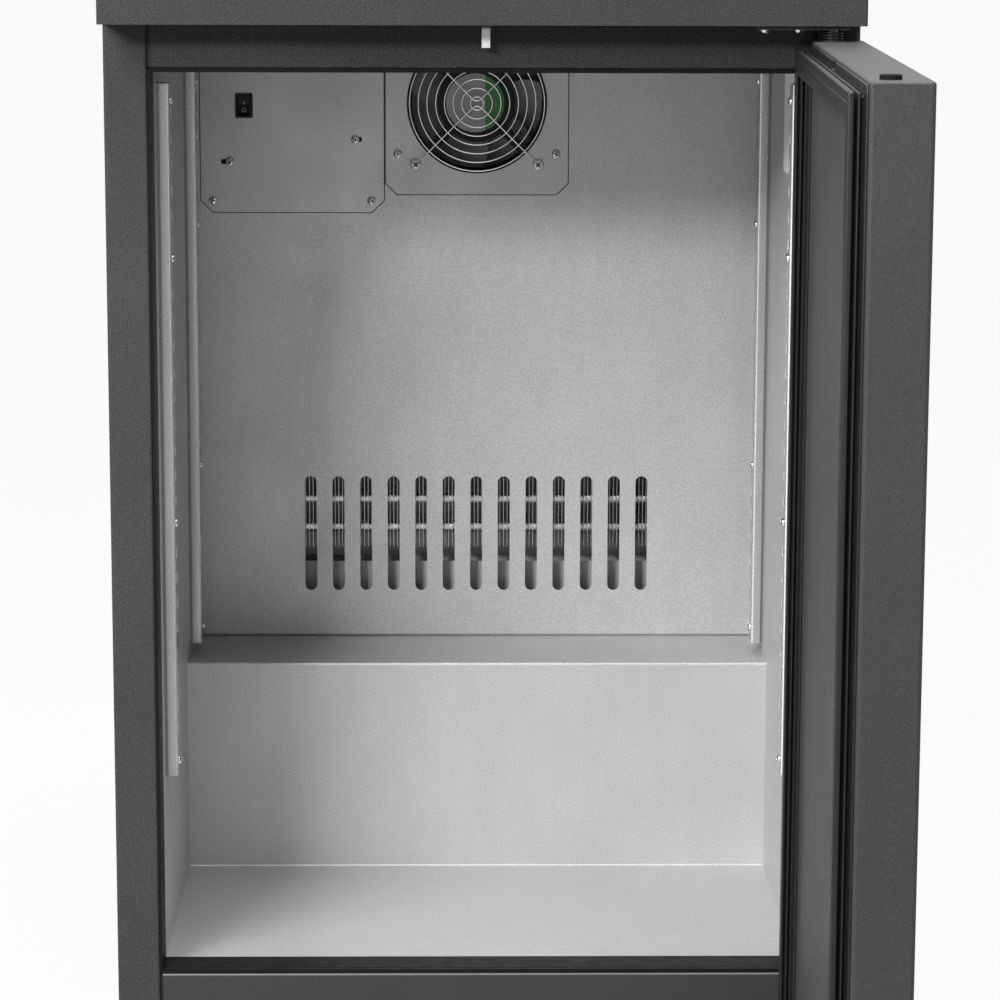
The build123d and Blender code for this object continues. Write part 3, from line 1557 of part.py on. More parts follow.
with BuildPart() as door_plugs:
    for level, up in ((door_top, 1), (door_bottom, -1)):
        with BuildSketch(door_frame.offset(level)):
            with Locations((plug_x, 0)):
                Circle(plug_radius)
        extrude(amount=up * plug_head)
    fillet(door_plugs.faces().filter_by(Axis.Z).sort_by(Axis.Z)[-1].edges(), plug_head / 3)
    fillet(door_plugs.faces().filter_by(Axis.Z).sort_by(Axis.Z)[0].edges(), plug_head / 3)
    for level, up in ((door_top, 1), (door_bottom, -1)):
        with BuildSketch(door_frame.offset(level)):
            with Locations((plug_x, 0)):
                Circle(bush_radius)
        extrude(amount=-up * bush_length / 2)
door_plugs.part.label = "door_plugs"
export_step(door_plugs.part, "parts/door_plugs.step")
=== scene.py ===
import bmesh
import bpy
from functools import partial
from math import cos, pi, radians, sin, sqrt
from mathutils import Matrix, Vector
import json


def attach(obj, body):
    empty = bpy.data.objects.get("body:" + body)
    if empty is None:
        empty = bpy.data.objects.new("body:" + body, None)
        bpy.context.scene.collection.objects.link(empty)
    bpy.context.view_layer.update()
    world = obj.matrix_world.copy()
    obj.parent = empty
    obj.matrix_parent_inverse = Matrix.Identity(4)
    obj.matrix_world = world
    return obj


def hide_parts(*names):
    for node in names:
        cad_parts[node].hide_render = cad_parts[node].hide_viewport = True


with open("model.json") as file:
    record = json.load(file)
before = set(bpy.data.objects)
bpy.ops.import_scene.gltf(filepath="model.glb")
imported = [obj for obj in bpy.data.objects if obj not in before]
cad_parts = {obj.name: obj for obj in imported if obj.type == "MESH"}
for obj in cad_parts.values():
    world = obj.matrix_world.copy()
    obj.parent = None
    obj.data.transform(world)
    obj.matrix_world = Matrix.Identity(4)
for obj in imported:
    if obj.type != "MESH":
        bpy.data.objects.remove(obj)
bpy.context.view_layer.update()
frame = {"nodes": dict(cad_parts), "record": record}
nodes = frame["nodes"]
print("cooler loaded:", len(nodes), "nodes")

scene = bpy.context.scene
scene.view_settings.view_transform = "Standard"


# Camera, floor and light

camera = {"place": (-0.0278, -2.8028, 0.8871), "turn": 0.0164, "tilt": 0.1753, "roll": -0.0031, "lens": 124.07,
          "sensor": 36, "near": 0.05}
studio = {"ambient": 0.07, "floorTone": 0.45, "floorRough": 0.9, "floorGlow": 0.94, "floorZ": -0.025,
          "floorReach": 30}
softboxes = {
    "keyBox": {"place": (-1.6, -2.4, 2.8), "aim": (0, -0.2, 0.5), "size": (1.7, 1.3), "power": 122},
    "frontBox": {"place": (-1.5, -2.7, 1.74), "aim": (0.1, 0, 0.6), "size": (1.1, 0.35), "power": 78},
    "rightBox": {"place": (2.6, -1.8, 1.6), "aim": (0.2, -0.4, 0.4), "size": (1.0, 1.8), "power": 6},
    "edgeBox": {"place": (1.25, -3.0, 0.9), "aim": (-0.1, -0.2, 0.4), "size": (0.25, 1.5), "power": 2.2},
    "topBox": {"place": (0.4, -1.0, 3.2), "aim": (0.2, -0.5, 0.5), "size": (2.0, 1.4), "power": 112},
}


# Gives each named input of a node a value or a link; another node stands for its first output
def feed(node, inputs):
    for socket, value in inputs.items():
        if isinstance(value, bpy.types.Node):
            value = value.outputs[0]
        if isinstance(value, bpy.types.NodeSocket):
            node.id_data.links.new(value, node.inputs[socket])
        else:
            node.inputs[socket].default_value = value


# The settings come first, because they decide which inputs a node has
def addNode(tree, kind, inputs=None, **settings):
    made = tree.nodes.new(kind)
    for setting, value in settings.items():
        setattr(made, setting, value)
    feed(made, inputs or {})
    return made


def placeCamera():
    turn, tilt, roll = camera["turn"], camera["tilt"], camera["roll"]
    forward = Vector((sin(turn) * cos(tilt), cos(turn) * cos(tilt), -sin(tilt)))
    across = Vector((cos(turn), -sin(turn), 0))
    down = forward.cross(across)
    right = across * cos(roll) + down * sin(roll)
    up = across * sin(roll) - down * cos(roll)
    eye = bpy.data.objects.new("photoCamera", bpy.data.cameras.new("photoCamera"))
    scene.collection.objects.link(eye)
    eye.data.lens = camera["lens"]
    eye.data.sensor_width = camera["sensor"]
    eye.data.clip_start = camera["near"]
    axes = Matrix((right, up, -forward)).transposed().to_4x4()
    eye.matrix_world = Matrix.Translation(camera["place"]) @ axes
    scene.camera = eye


def hangSoftbox(name, box):
    lamp = bpy.data.lights.new(name, "AREA")
    lamp.shape = "RECTANGLE"
    lamp.size, lamp.size_y = box["size"]
    lamp.energy = box["power"]
    holder = bpy.data.objects.new(name, lamp)
    scene.collection.objects.link(holder)
    holder.location = box["place"]
    holder.rotation_euler = (Vector(box["aim"]) - Vector(box["place"])).to_track_quat("-Z", "Y").to_euler()


# One for a ray from the camera, or one that metal or glass sends on, nothing for the rest
def directRays(tree):
    rays = addNode(tree, "ShaderNodeLightPath").outputs
    direct = rays["Is Camera Ray"]
    for kind in ("Is Glossy Ray", "Is Transmission Ray"):
        direct = addNode(tree, "ShaderNodeMath", {0: direct, 1: rays[kind]}, operation="MAXIMUM")
    return direct


# White where the camera, metal or glass sees it, a soft grey light everywhere else
def lightWorld():
    world = bpy.data.worlds.new("studioWorld")
    scene.world = world
    world.use_nodes = True
    tree = world.node_tree
    tree.nodes.clear()
    ambient = addNode(tree, "ShaderNodeBackground", {"Color": (1, 1, 1, 1), "Strength": studio["ambient"]})
    white = addNode(tree, "ShaderNodeBackground", {"Color": (1, 1, 1, 1)})
    shown = {0: directRays(tree), 1: ambient, 2: white}
    choose = addNode(tree, "ShaderNodeMixShader", shown)
    addNode(tree, "ShaderNodeOutputWorld", {"Surface": choose})


def layFloor():
    reach, level = studio["floorReach"], studio["floorZ"]
    corners = [(-reach, -reach, level), (reach, -reach, level), (reach, reach, level), (-reach, reach, level)]
    mesh = makeMesh("studioFloor", corners, [(0, 1, 2, 3)])
    floor = bpy.data.objects.new("studioFloor", mesh)
    scene.collection.objects.link(floor)
    paint, tree, shader = newMaterial("floorPaint")
    feed(shader, {"Base Color": (studio["floorTone"],) * 3 + (1,), "Roughness": studio["floorRough"]})
    glow = addNode(tree, "ShaderNodeEmission")
    share = addNode(tree, "ShaderNodeMath", {0: directRays(tree), 1: studio["floorGlow"]}, operation="MULTIPLY")
    shown = {0: share, 1: shader, 2: glow}
    choose = addNode(tree, "ShaderNodeMixShader", shown)
    feed(tree.nodes["Material Output"], {"Surface": choose})
    mesh.materials.append(paint)


# Materials

def newMaterial(name):
    material = bpy.data.materials.new(name)
    material.use_nodes = True
    return material, material.node_tree, material.node_tree.nodes["Principled BSDF"]


def objectSpace(tree, stretch=(1, 1, 1)):
    place = addNode(tree, "ShaderNodeTexCoord").outputs["Object"]
    return addNode(tree, "ShaderNodeMapping", {"Vector": place, "Scale": stretch}).outputs["Vector"]


def noiseOn(tree, vector, scale, detail=3, roughness=0.55):
    sizes = {"Vector": vector, "Scale": scale, "Detail": detail, "Roughness": roughness}
    return addNode(tree, "ShaderNodeTexNoise", sizes).outputs["Fac"]


def ramp(tree, value, stops):
    band = addNode(tree, "ShaderNodeValToRGB", {"Fac": value})
    while len(band.color_ramp.elements) < len(stops):
        band.color_ramp.elements.new(0.5)
    for element, (place, tone) in zip(band.color_ramp.elements, stops):
        element.position = place
        element.color = (*tone, 1) if isinstance(tone, tuple) else (tone, tone, tone, 1)
    return band.outputs["Color"]


# Lays one colour over another, by one amount or by what another node says
def layer(tree, below, above, amount, how="MULTIPLY"):
    inputs = {"Factor": amount, "A": below, "B": above}
    return addNode(tree, "ShaderNodeMix", inputs, data_type="RGBA", blend_type=how).outputs["Result"]


# What a mesh marks on its points or faces under this label
def marked(tree, label):
    return addNode(tree, "ShaderNodeAttribute", attribute_name=label).outputs["Fac"]


def bump(tree, shader, height, strength, distance):
    raised = addNode(tree, "ShaderNodeBump", {"Strength": strength, "Distance": distance, "Height": height})
    feed(shader, {"Normal": raised})


# Charcoal powder coat: fine pits, pale grains and painted glints in a slightly cloudy grey, under a pale film on
# upward faces that is partly dust and partly a painted highlight
def powderCoat(name, tone, grain=1.0, glint=1.0, dustAndSheen=2.6, shine=0.09):
    material, tree, shader = newMaterial(name)
    space = objectSpace(tree)
    cloud = ramp(tree, noiseOn(tree, space, 9, 2), [(0.3, tone * 0.93), (0.7, tone * 1.07)])
    grains = ramp(tree, noiseOn(tree, space, 950, 2, 0.7), [(0.34, 0.58), (0.52, 0.95), (0.68, 1.48)])
    # Painted glints: pale specks added to the colour in place of the coat's sparkle under light
    glints = ramp(tree, noiseOn(tree, space, 1500, 1, 0.5), [(0.6, 0.0), (0.74, tone * 1.5 * glint)])
    coat = layer(tree, layer(tree, cloud, grains, 0.85 * grain), glints, 0.8 * grain, "ADD")
    # Up-facing faces turn paler: partly dust, partly a painted highlight on the door top and the sill's fold
    facing = addNode(tree, "ShaderNodeTexCoord").outputs["Normal"]
    upward = addNode(tree, "ShaderNodeSeparateXYZ", {"Vector": facing}).outputs["Z"]
    dustAndSheenFilm = ramp(tree, noiseOn(tree, space, 700, 3, 0.7), [(0.3, tone * dustAndSheen * 0.85), (0.7, tone * dustAndSheen * 1.15)])
    dustAndSheenCoat = layer(tree, coat, dustAndSheenFilm, ramp(tree, upward, [(0.25, 0), (0.8, 1)]), "MIX")
    gloss = ramp(tree, noiseOn(tree, space, 500, 2), [(0.3, 0.46), (0.7, 0.62)])
    feed(shader, {"Base Color": dustAndSheenCoat, "Roughness": gloss, "Specular IOR Level": shine})
    bump(tree, shader, noiseOn(tree, space, 850, 2, 0.6), 0.3 * grain, 0.0005)
    return material


# Rolled sheet: long faint streaks across a satin metal. A mesh may mark flanges for painted shade (0.5) and
# folds and cut edges for a painted highlight (1)
def satinSheet(name, tone, metallic, rough, stretch, streak=0.06, smudged=0.9, paintsShadeAndHighlight=False):
    material, tree, shader = newMaterial(name)
    along, even = objectSpace(tree, stretch), objectSpace(tree)
    tones = [(0.25, tone * (1 - streak)), (0.75, tone * (1 + streak))]
    streaks = ramp(tree, noiseOn(tree, along, 60, 4, 0.6), tones)
    smudge = ramp(tree, noiseOn(tree, even, 6, 3), [(0.3, 0.95), (0.7, 1.04)])
    grain = ramp(tree, noiseOn(tree, even, 800, 2, 0.7), [(0.3, 0.74), (0.7, 1.27)])
    colour = layer(tree, layer(tree, streaks, smudge, smudged), grain, 0.8)
    if paintsShadeAndHighlight:
        # Painted shade halves the tone on marked flanges, a painted highlight nearly doubles it on folds and cut
        # edges
        colour = layer(tree, colour, ramp(tree, marked(tree, "wear"), [(0, 1), (0.5, 0.5), (1, 1.95)]), 1)
    gloss = ramp(tree, noiseOn(tree, even, 14, 3), [(0.3, rough - 0.05), (0.7, rough + 0.06)])
    feed(shader, {"Base Color": colour, "Roughness": gloss, "Metallic": metallic})
    bump(tree, shader, noiseOn(tree, along, 300, 3), 0.04, 0.0003)
    return material


# Hot-dipped zinc: crystals a few millimetres across
def zincSheet(name, tone, crystal):
    material, tree, shader = newMaterial(name)
    space = objectSpace(tree)
    cells = addNode(tree, "ShaderNodeTexVoronoi", {"Vector": space, "Scale": crystal}).outputs["Color"]
    shade = addNode(tree, "ShaderNodeRGBToBW", {"Color": cells}).outputs["Val"]
    flakes = ramp(tree, shade, [(0.2, tone * 0.94), (0.8, tone * 1.05)])
    dull = ramp(tree, noiseOn(tree, space, 7, 4), [(0.3, 0.92), (0.7, 1.03)])
    gloss = ramp(tree, shade, [(0.1, 0.5), (0.9, 0.36)])
    feed(shader, {"Base Color": layer(tree, flakes, dull, 1), "Roughness": gloss, "Metallic": 0.9})
    bump(tree, shader, noiseOn(tree, space, 240, 3), 0.06, 0.0004)
    return material


# Bright plated or polished metal with a trace of handling, and painted shade where a mesh marks its recesses
def brightMetal(name, tone, rough, scratch=0.1, recessShade=0.0, metallic=1.0):
    material, tree, shader = newMaterial(name)
    space = objectSpace(tree)
    tints = [(0.3, tuple(c * 0.86 for c in tone)), (0.7, tuple(min(1, c * 1.06) for c in tone))]
    colour = ramp(tree, noiseOn(tree, space, 90, 4, 0.6), tints)
    if recessShade:
        # Painted shade: the marked recess points are darkened
        colour = layer(tree, colour, ramp(tree, marked(tree, "recess"), [(0.2, 1), (0.8, 1 - recessShade)]), 1)
    gloss = ramp(tree, noiseOn(tree, space, 260, 3, 0.6), [(0.3, rough * 0.8), (0.75, rough * 1.3)])
    feed(shader, {"Base Color": colour, "Roughness": gloss, "Metallic": metallic})
    bump(tree, shader, noiseOn(tree, space, 700, 3), scratch, 0.0002)
    return material


# Moulded or extruded plastic and rubber: faint mould grain, slightly uneven shine
def mouldedPlastic(name, tone, rough, grain, shine=0.5, coat=0.0):
    material, tree, shader = newMaterial(name)
    space = objectSpace(tree)
    tints = [(0.3, tuple(c * 0.88 for c in tone)), (0.7, tuple(min(1, c * 1.1) for c in tone))]
    colour = ramp(tree, noiseOn(tree, space, 45, 4, 0.6), tints)
    gloss = ramp(tree, noiseOn(tree, space, 120, 3), [(0.3, rough * 0.85), (0.7, rough * 1.15)])
    feed(shader, {"Base Color": colour, "Roughness": gloss, "Specular IOR Level": shine, "Coat Weight": coat,
                  "Coat Roughness": 0.12})
    bump(tree, shader, noiseOn(tree, space, 1400, 2), grain, 0.0003)
    return material


# Cut rigid foam: open pores in a creamy skin
def rigidFoam(name, tone):
    material, tree, shader = newMaterial(name)
    pores = noiseOn(tree, objectSpace(tree), 420, 4, 0.7)
    tints = [(0.3, tuple(c * 0.72 for c in tone)), (0.6, tone)]
    feed(shader, {"Base Color": ramp(tree, pores, tints), "Roughness": 0.85})
    bump(tree, shader, pores, 0.5, 0.0008)
    return material


finishes = {
    "shell_coat": powderCoat("charcoalCoat", 0.039),
    "door_liner_paint": powderCoat("doorPanelCoat", 0.055, 0.35),
    "liner_metal": satinSheet("satinLiner", 0.46, 0.5, 0.47, (1, 1, 0.3), 0.03, 0.6),
    "galvanised_steel": zincSheet("zincSheet", 0.55, 140),
    "bright_steel": satinSheet("brightStrip", 0.42, 0.6, 0.26, (1, 1, 0.04), 0.05, 0.9, True),
    "screw_steel": brightMetal("platedSteel", (0.78, 0.78, 0.79), 0.13, 0.05, 0.85),
    "chrome_wire": brightMetal("chromeWire", (0.9, 0.9, 0.9), 0.12, 0.04),
    "fin_aluminium": satinSheet("finFoil", 0.7, 0.95, 0.36, (1, 1, 0.2)),
    "compressor_paint": mouldedPlastic("compressorEnamel", (0.014, 0.014, 0.015), 0.3, 0.1, 0.5, 0.4),
    "copper": brightMetal("copperTube", (0.72, 0.4, 0.27), 0.28),
    "black_gloss_plastic": mouldedPlastic("glossBreaker", (0.008, 0.008, 0.008), 0.42, 0.05, 0.05),
    "black_plastic": mouldedPlastic("satinBlack", (0.014, 0.014, 0.015), 0.5, 0.18, 0.25),
    "white_plastic": mouldedPlastic("whiteLever", (0.78, 0.78, 0.77), 0.32, 0.08),
    "light_plastic": mouldedPlastic("greyMoulding", (0.5, 0.5, 0.5), 0.45, 0.12),
    "black_rubber": mouldedPlastic("gasketRubber", (0.009, 0.009, 0.009), 0.42, 0.12, 0.28),
    "insulation_foam": rigidFoam("rigidFoam", (0.78, 0.7, 0.45)),
}
ownFinishes = {
    # A darker copy of the charcoal coat: painted shade for the lip's shadow on the rail, with stronger painted
    # glints
    "top_rail": powderCoat("railCoat", 0.03, 1.15, 2.8),
    # A heavy pale film on up-facing faces: painted highlight along the sill's rounded top fold
    "bottom_rail": powderCoat("sillCoat", 0.036, 0.4, 0.5, 5.5),
    "door_skin": powderCoat("doorCoat", 0.029, 0.7, 0.8, 1.5, 0.28),
    "top_cover": powderCoat("lidCoat", 0.038, 1.0, 1.0, 2.6, 0.01),
    "fan_frame": mouldedPlastic("fanHousing", (0.018, 0.018, 0.018), 0.5, 0.1, 0.15),
    # Black plastic blades given a pale grey: painted light for the light reaching them behind the plate
    "fan_impeller": mouldedPlastic("fanBlades", (0.27, 0.27, 0.27), 0.6, 0.12, 0.3),
    "door_plugs": mouldedPlastic("plugCap", (0.008, 0.008, 0.008), 0.65, 0.1, 0.05),
    "guard_screws": brightMetal("dullZinc", (0.85, 0.85, 0.85), 0.36, 0.05, 0.9, 0.5),
    # Near-black spring and pins: painted shade for the shadow under the worktop's lip
    "hinge_spring": mouldedPlastic("springSteel", (0.012, 0.012, 0.012), 0.4, 0.08, 0.3),
    "hinge_pins": mouldedPlastic("greasedPin", (0.05, 0.05, 0.05), 0.3, 0.08, 0.6),
}


def dressNodes():
    for part in frame["record"]["subparts"]:
        mesh = nodes[part["node"]].data
        mesh.materials.clear()
        mesh.materials.append(ownFinishes.get(part["node"], finishes[part["material_slot"]]))


# Helpers for the pieces made here

def millimetres(*numbers):
    return Vector(numbers) * 0.001


# Makes every face of a closed shell point outwards
def turnOutwards(mesh):
    shell = bmesh.new()
    shell.from_mesh(mesh)
    bmesh.ops.recalc_face_normals(shell, faces=shell.faces)
    shell.to_mesh(mesh)
    shell.free()


# A mesh from points in metres, smooth where its faces meet at less than the angle called smooth
def makeMesh(name, verts, faces, edges=(), smooth=None, closed=False):
    mesh = bpy.data.meshes.new(name)
    mesh.from_pydata([tuple(v) for v in verts], list(edges), faces)
    mesh.update()
    if closed:
        turnOutwards(mesh)
    if smooth is not None:
        mesh.shade_smooth()
        mesh.set_sharp_from_angle(angle=radians(smooth))
    return mesh


def seatPiece(name, mesh, body, slotName, replaced=()):
    piece = bpy.data.objects.new(name, mesh)
    scene.collection.objects.link(piece)
    if slotName:
        if not mesh.materials:
            mesh.materials.append(finishes[slotName])
    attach(piece, body)
    if replaced:
        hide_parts(*replaced)
    return piece


def circlePoints(radius, sides):
    turns = [2 * pi * side / sides for side in range(sides)]
    return [(radius * cos(turn), radius * sin(turn)) for turn in turns]


# Quads from one ring of points to the next, each named by its first point
def ringFaces(low, high, count):
    return [(low + i, high + i, high + (i + 1) % count, low + (i + 1) % count) for i in range(count)]


# The outline of a rectangle with rounded corners, anticlockwise from its upper right
def roundedOutline(low, high, corner, steps=6):
    points = []
    inner = [(high[0] - corner, high[1] - corner), (low[0] + corner, high[1] - corner),
             (low[0] + corner, low[1] + corner), (high[0] - corner, low[1] + corner)]
    for start, (inX, inY) in enumerate(inner):
        for step in range(steps + 1):
            turn = pi / 2 * (start + step / steps)
            points.append((inX + corner * cos(turn), inY + corner * sin(turn)))
    return points


# A closed shape turned round its own Z, from (radius, height) points that start and end on the axis
def lathe(name, profile, sides):
    verts, rings = [], []
    for radius, height in profile:
        count = sides if radius > 0 else 1
        rings.append((len(verts), count))
        verts += [millimetres(x, y, height) for x, y in circlePoints(radius, sides)[:count]]
    faces = []
    for (low, lowCount), (high, highCount) in zip(rings, rings[1:]):
        for side in range(sides):
            after = (side + 1) % sides
            corners = [low + side % lowCount, low + after % lowCount, high + after % highCount,
                       high + side % highCount]
            faces.append([c for i, c in enumerate(corners) if c not in corners[:i]])
    return makeMesh(name, verts, faces, smooth=30, closed=True)


# A Geometry Nodes tree with named inputs for its sizes; gives what adds its nodes, and its inputs
def newTree(name, sizes):
    tree = bpy.data.node_groups.new(name, "GeometryNodeTree")
    tree.interface.new_socket("Geometry", in_out="INPUT", socket_type="NodeSocketGeometry")
    kinds = {float: "NodeSocketFloat", int: "NodeSocketInt", tuple: "NodeSocketVector"}
    for label, value in sizes.items():
        kind = kinds.get(type(value), "NodeSocketObject")
        socket = tree.interface.new_socket(label, in_out="INPUT", socket_type=kind)
        if kind != "NodeSocketObject":
            socket.default_value = value
    tree.interface.new_socket("Geometry", in_out="OUTPUT", socket_type="NodeSocketGeometry")
    return tree, partial(addNode, tree), tree.nodes.new("NodeGroupInput").outputs


# Joins geometries in this order
def joined(tree, *pieces):
    join = addNode(tree, "GeometryNodeJoinGeometry")
    for piece in pieces:
        feed(join, {0: piece})
    return join


# Wraps a curve in a round wire
def wrapWire(tree, curve, radius, sides):
    section = addNode(tree, "GeometryNodeCurvePrimitiveCircle", {"Resolution": sides, "Radius": radius})
    skin = {"Curve": curve, "Profile Curve": section, "Fill Caps": True}
    return addNode(tree, "GeometryNodeCurveToMesh", skin)


# Realize, give the finish and end the tree
def closeTree(tree, geometry, finish):
    whole = addNode(tree, "GeometryNodeRealizeInstances", {"Geometry": geometry})
    paint = addNode(tree, "GeometryNodeSetMaterial", {"Geometry": whole, "Material": finish})
    addNode(tree, "NodeGroupOutput", {"Geometry": paint})
    return tree


# Runs a tree on a start mesh and keeps the result as a plain mesh
def growMesh(name, tree, sizes, start=None):
    seed = bpy.data.objects.new(name + "Seed", start or bpy.data.meshes.new(name + "Seed"))
    scene.collection.objects.link(seed)
    modifier = seed.modifiers.new(name, "NODES")
    modifier.node_group = tree
    for item in tree.interface.items_tree:
        if item.in_out == "INPUT" and item.name in sizes:
            modifier[item.identifier] = sizes[item.name]
    bpy.context.view_layer.update()
    evaluated = seed.evaluated_get(bpy.context.evaluated_depsgraph_get())
    mesh = bpy.data.meshes.new_from_object(evaluated)
    mesh.name = name
    bpy.data.objects.remove(seed)
    return mesh


# Screws: a pan head with a cross recess, set on every seat by one tree

screwKinds = {
    kind: dict(zip(("head", "height", "shank", "reach", "recess", "depth"), sizes)) for kind, sizes in {
        "panelScrews": (3.9, 2.4, 1.8, 5, (0.55, 2.1), 1.1),
        "pilasterScrews": (3.9, 2.4, 1.8, 11, (0.55, 2.1), 1.1),
        "guardScrews": (4.9, 2.8, 2.1, 7.4, (0.65, 2.5), 1.3),
        "hingeScrews": (4.6, 2.9, 2.5, 4, (0.7, 2.6), 1.3),
        "rearScrews": (4.2, 2.3, 1.8, 0.8, (0.55, 2.1), 1.0),
    }.items()}
screwShape = {"rings": 12, "sides": 32, "spread": 0.9, "dome": 2.6, "slope": 0.45, "smooth": 50}


def screwHead(kind):
    size, rings, sides = screwKinds[kind], screwShape["rings"], screwShape["sides"]
    head, height, depth, (width, arm) = (size[key] for key in ("head", "height", "depth", "recess"))
    verts, recess = [(0, 0, height - depth)], [1]
    for ring in range(1, rings + 1):
        reach = head * (ring / rings) ** screwShape["spread"]
        dome = height * sqrt(max(0, 1 - (reach / head) ** screwShape["dome"]))
        for x, y in circlePoints(reach, sides):
            inside = min(abs(x), abs(y)) < width and max(abs(x), abs(y)) < arm
            sunk = depth * (1 - screwShape["slope"] * reach / arm) if inside else 0
            verts.append((x, y, dome - sunk))
            recess.append(1 if inside else 0)
    faces = [(0, 1 + side, 1 + (side + 1) % sides) for side in range(sides)]
    for ring in range(rings - 1):
        faces += ringFaces(1 + ring * sides, 1 + (ring + 1) * sides, sides)
    rim = 1 + (rings - 1) * sides
    for level in (0, -size["reach"]):
        start = len(verts)
        verts += [(x, y, level) for x, y in circlePoints(size["shank"], sides)]
        faces += ringFaces(rim, start, sides)
        rim = start
    faces.append([rim + side for side in range(sides)])
    recess += [0] * (len(verts) - len(recess))
    mesh = makeMesh(kind + "Head", [millimetres(*v) for v in verts], faces, smooth=screwShape["smooth"])
    mesh.attributes.new("recess", "FLOAT", "POINT").data.foreach_set("value", recess)
    return bpy.data.objects.new(kind + "Head", mesh)


def screwTree(finish):
    tree, node, given = newTree("setScrews", {"Screw": None, "Spin Seed": 4})
    facing = node("GeometryNodeInputNamedAttribute", {"Name": "facing"}, data_type="FLOAT_VECTOR")
    align = node("FunctionNodeAlignRotationToVector", {"Vector": facing}, axis="Z")
    spin = node("FunctionNodeRandomValue", {"Max": pi / 2, "Seed": given["Spin Seed"]})
    about = node("FunctionNodeAxisAngleToRotation", {"Axis": (0, 0, 1), "Angle": spin.outputs[1]})
    turns = {"Rotation": align, "Rotate By": about}
    turned = node("FunctionNodeRotateRotation", turns, rotation_space="LOCAL")
    screw = node("GeometryNodeObjectInfo", {"Object": given["Screw"]})
    place = node("GeometryNodeInstanceOnPoints", {
        "Points": given["Geometry"], "Instance": screw.outputs["Geometry"], "Rotation": turned})
    return closeTree(tree, place, finish)


def setScrews(kind, seats, node, seed):
    head = screwHead(kind)
    scene.collection.objects.link(head)
    points = makeMesh(kind + "Seats", [millimetres(*place) for place, facing in seats], [])
    directions = [number for place, facing in seats for number in facing]
    points.attributes.new("facing", "FLOAT_VECTOR", "POINT").data.foreach_set("vector", directions)
    finish = ownFinishes.get(node, finishes["screw_steel"])
    mesh = growMesh(kind, screwTree(finish), {"Screw": head, "Spin Seed": seed}, points)
    bpy.data.objects.remove(head)
    seatPiece(kind, mesh, "cabinet", "screw_steel", [node] if node else ())


pilasterLayout = {"face": 235.5, "top": 742.2, "middles": (-174, 99.6), "lengths": (537.7, 492)}
pilasterDrops = ((12.3, 132.6, 338.5, 527.5), (12.3, 132.6, 338.5, 480))
fanCentre = (0, 707.5)
plateFront = 155
screwPlaces = {
    "fanPlate": (67.7, 43.3), "guard": 52.4, "guardLift": 1.4,
    "switchPanel": ((-226.2, 624.2), (-90.2, 623.9), (-211.2, 657.4), (-104, 676.3)),
    "hinges": {"alongDoor": (-49, -24), "seats": ((-264.5, 787), (-217.5, -3))},
    "rear": ({"across": (-271, 271), "levels": (250, 360, 480, 600, 720), "depth": 238},
             {"across": (-263, 0, 263), "levels": (24, 201), "depth": 239}),
}


def allScrews():
    x, z = fanCentre
    (across, up), out = screwPlaces["fanPlate"], screwPlaces["guard"]
    quarters = [(i, j) for i in (-1, 1) for j in (-1, 1)]
    panel = [(x + i * across, z + j * up) for i, j in quarters] + list(screwPlaces["switchPanel"])
    setScrews("panelScrews", [((a, plateFront, b), (0, -1, 0)) for a, b in panel], "panel_screws", 3)
    seats = []
    for side in (-1, 1):
        for middle, drops in zip(pilasterLayout["middles"], pilasterDrops):
            for drop in drops:
                place = (side * pilasterLayout["face"], middle, pilasterLayout["top"] - drop)
                seats.append((place, (-side, 0, 0)))
    setScrews("pilasterScrews", seats, "pilaster_screws", 8)
    level = plateFront - screwPlaces["guardLift"]
    corners = [((x + i * out, level, z + j * out), (0, -1, 0)) for i, j in quarters]
    setScrews("guardScrews", corners, "guard_screws", 5)
    hinges = screwPlaces["hinges"]
    under = [((door["pin"][0] + along, y, height), (0, 0, -1))
             for y, height in hinges["seats"] for along in hinges["alongDoor"]]
    setScrews("hingeScrews", under, "hinge_screws", 6)
    behind = [((a, panel["depth"], height), (0, 1, 0))
              for panel in screwPlaces["rear"] for a in panel["across"] for height in panel["levels"]]
    setScrews("rearScrews", behind, None, 7)


# Shelf pilasters: a folded channel with wide slots down its face, measured out from the wall

pilasterStrip = {"wall": 245.5, "depth": 10, "width": 22, "sheet": 1, "bend": 2, "steps": 6, "slot": (13, 7.6),
                 "firstSlot": 22, "pitch": 20, "clear": 9.5, "endClear": 9, "flange": (2.3, 1.4)}


def stripLine(inset):
    depth, width, bend, steps = (pilasterStrip[key] for key in ("depth", "width", "bend", "steps"))
    (reach, setBack), slotHalf, radius = pilasterStrip["flange"], pilasterStrip["slot"][0] / 2, bend - inset
    fold = [(depth - bend + radius * sin(pi / 2 * i / steps), bend - radius * cos(pi / 2 * i / steps))
            for i in range(steps + 1)]
    flange = [(0, setBack + inset), (reach + inset, setBack + inset), (reach + inset, inset)]
    near = [*flange, *fold, (depth - inset, width / 2 - slotHalf)]
    return near + [(out, width - back) for out, back in reversed(near)]


# Flange faces get painted shade, folds and cut edges a painted highlight, the rest plain
def stripShadeAndHighlight(place, around):
    place = min(place, around - 2 - place)
    if place < 2:
        return 0.5
    return 1 if 4 <= place <= 6 else 0


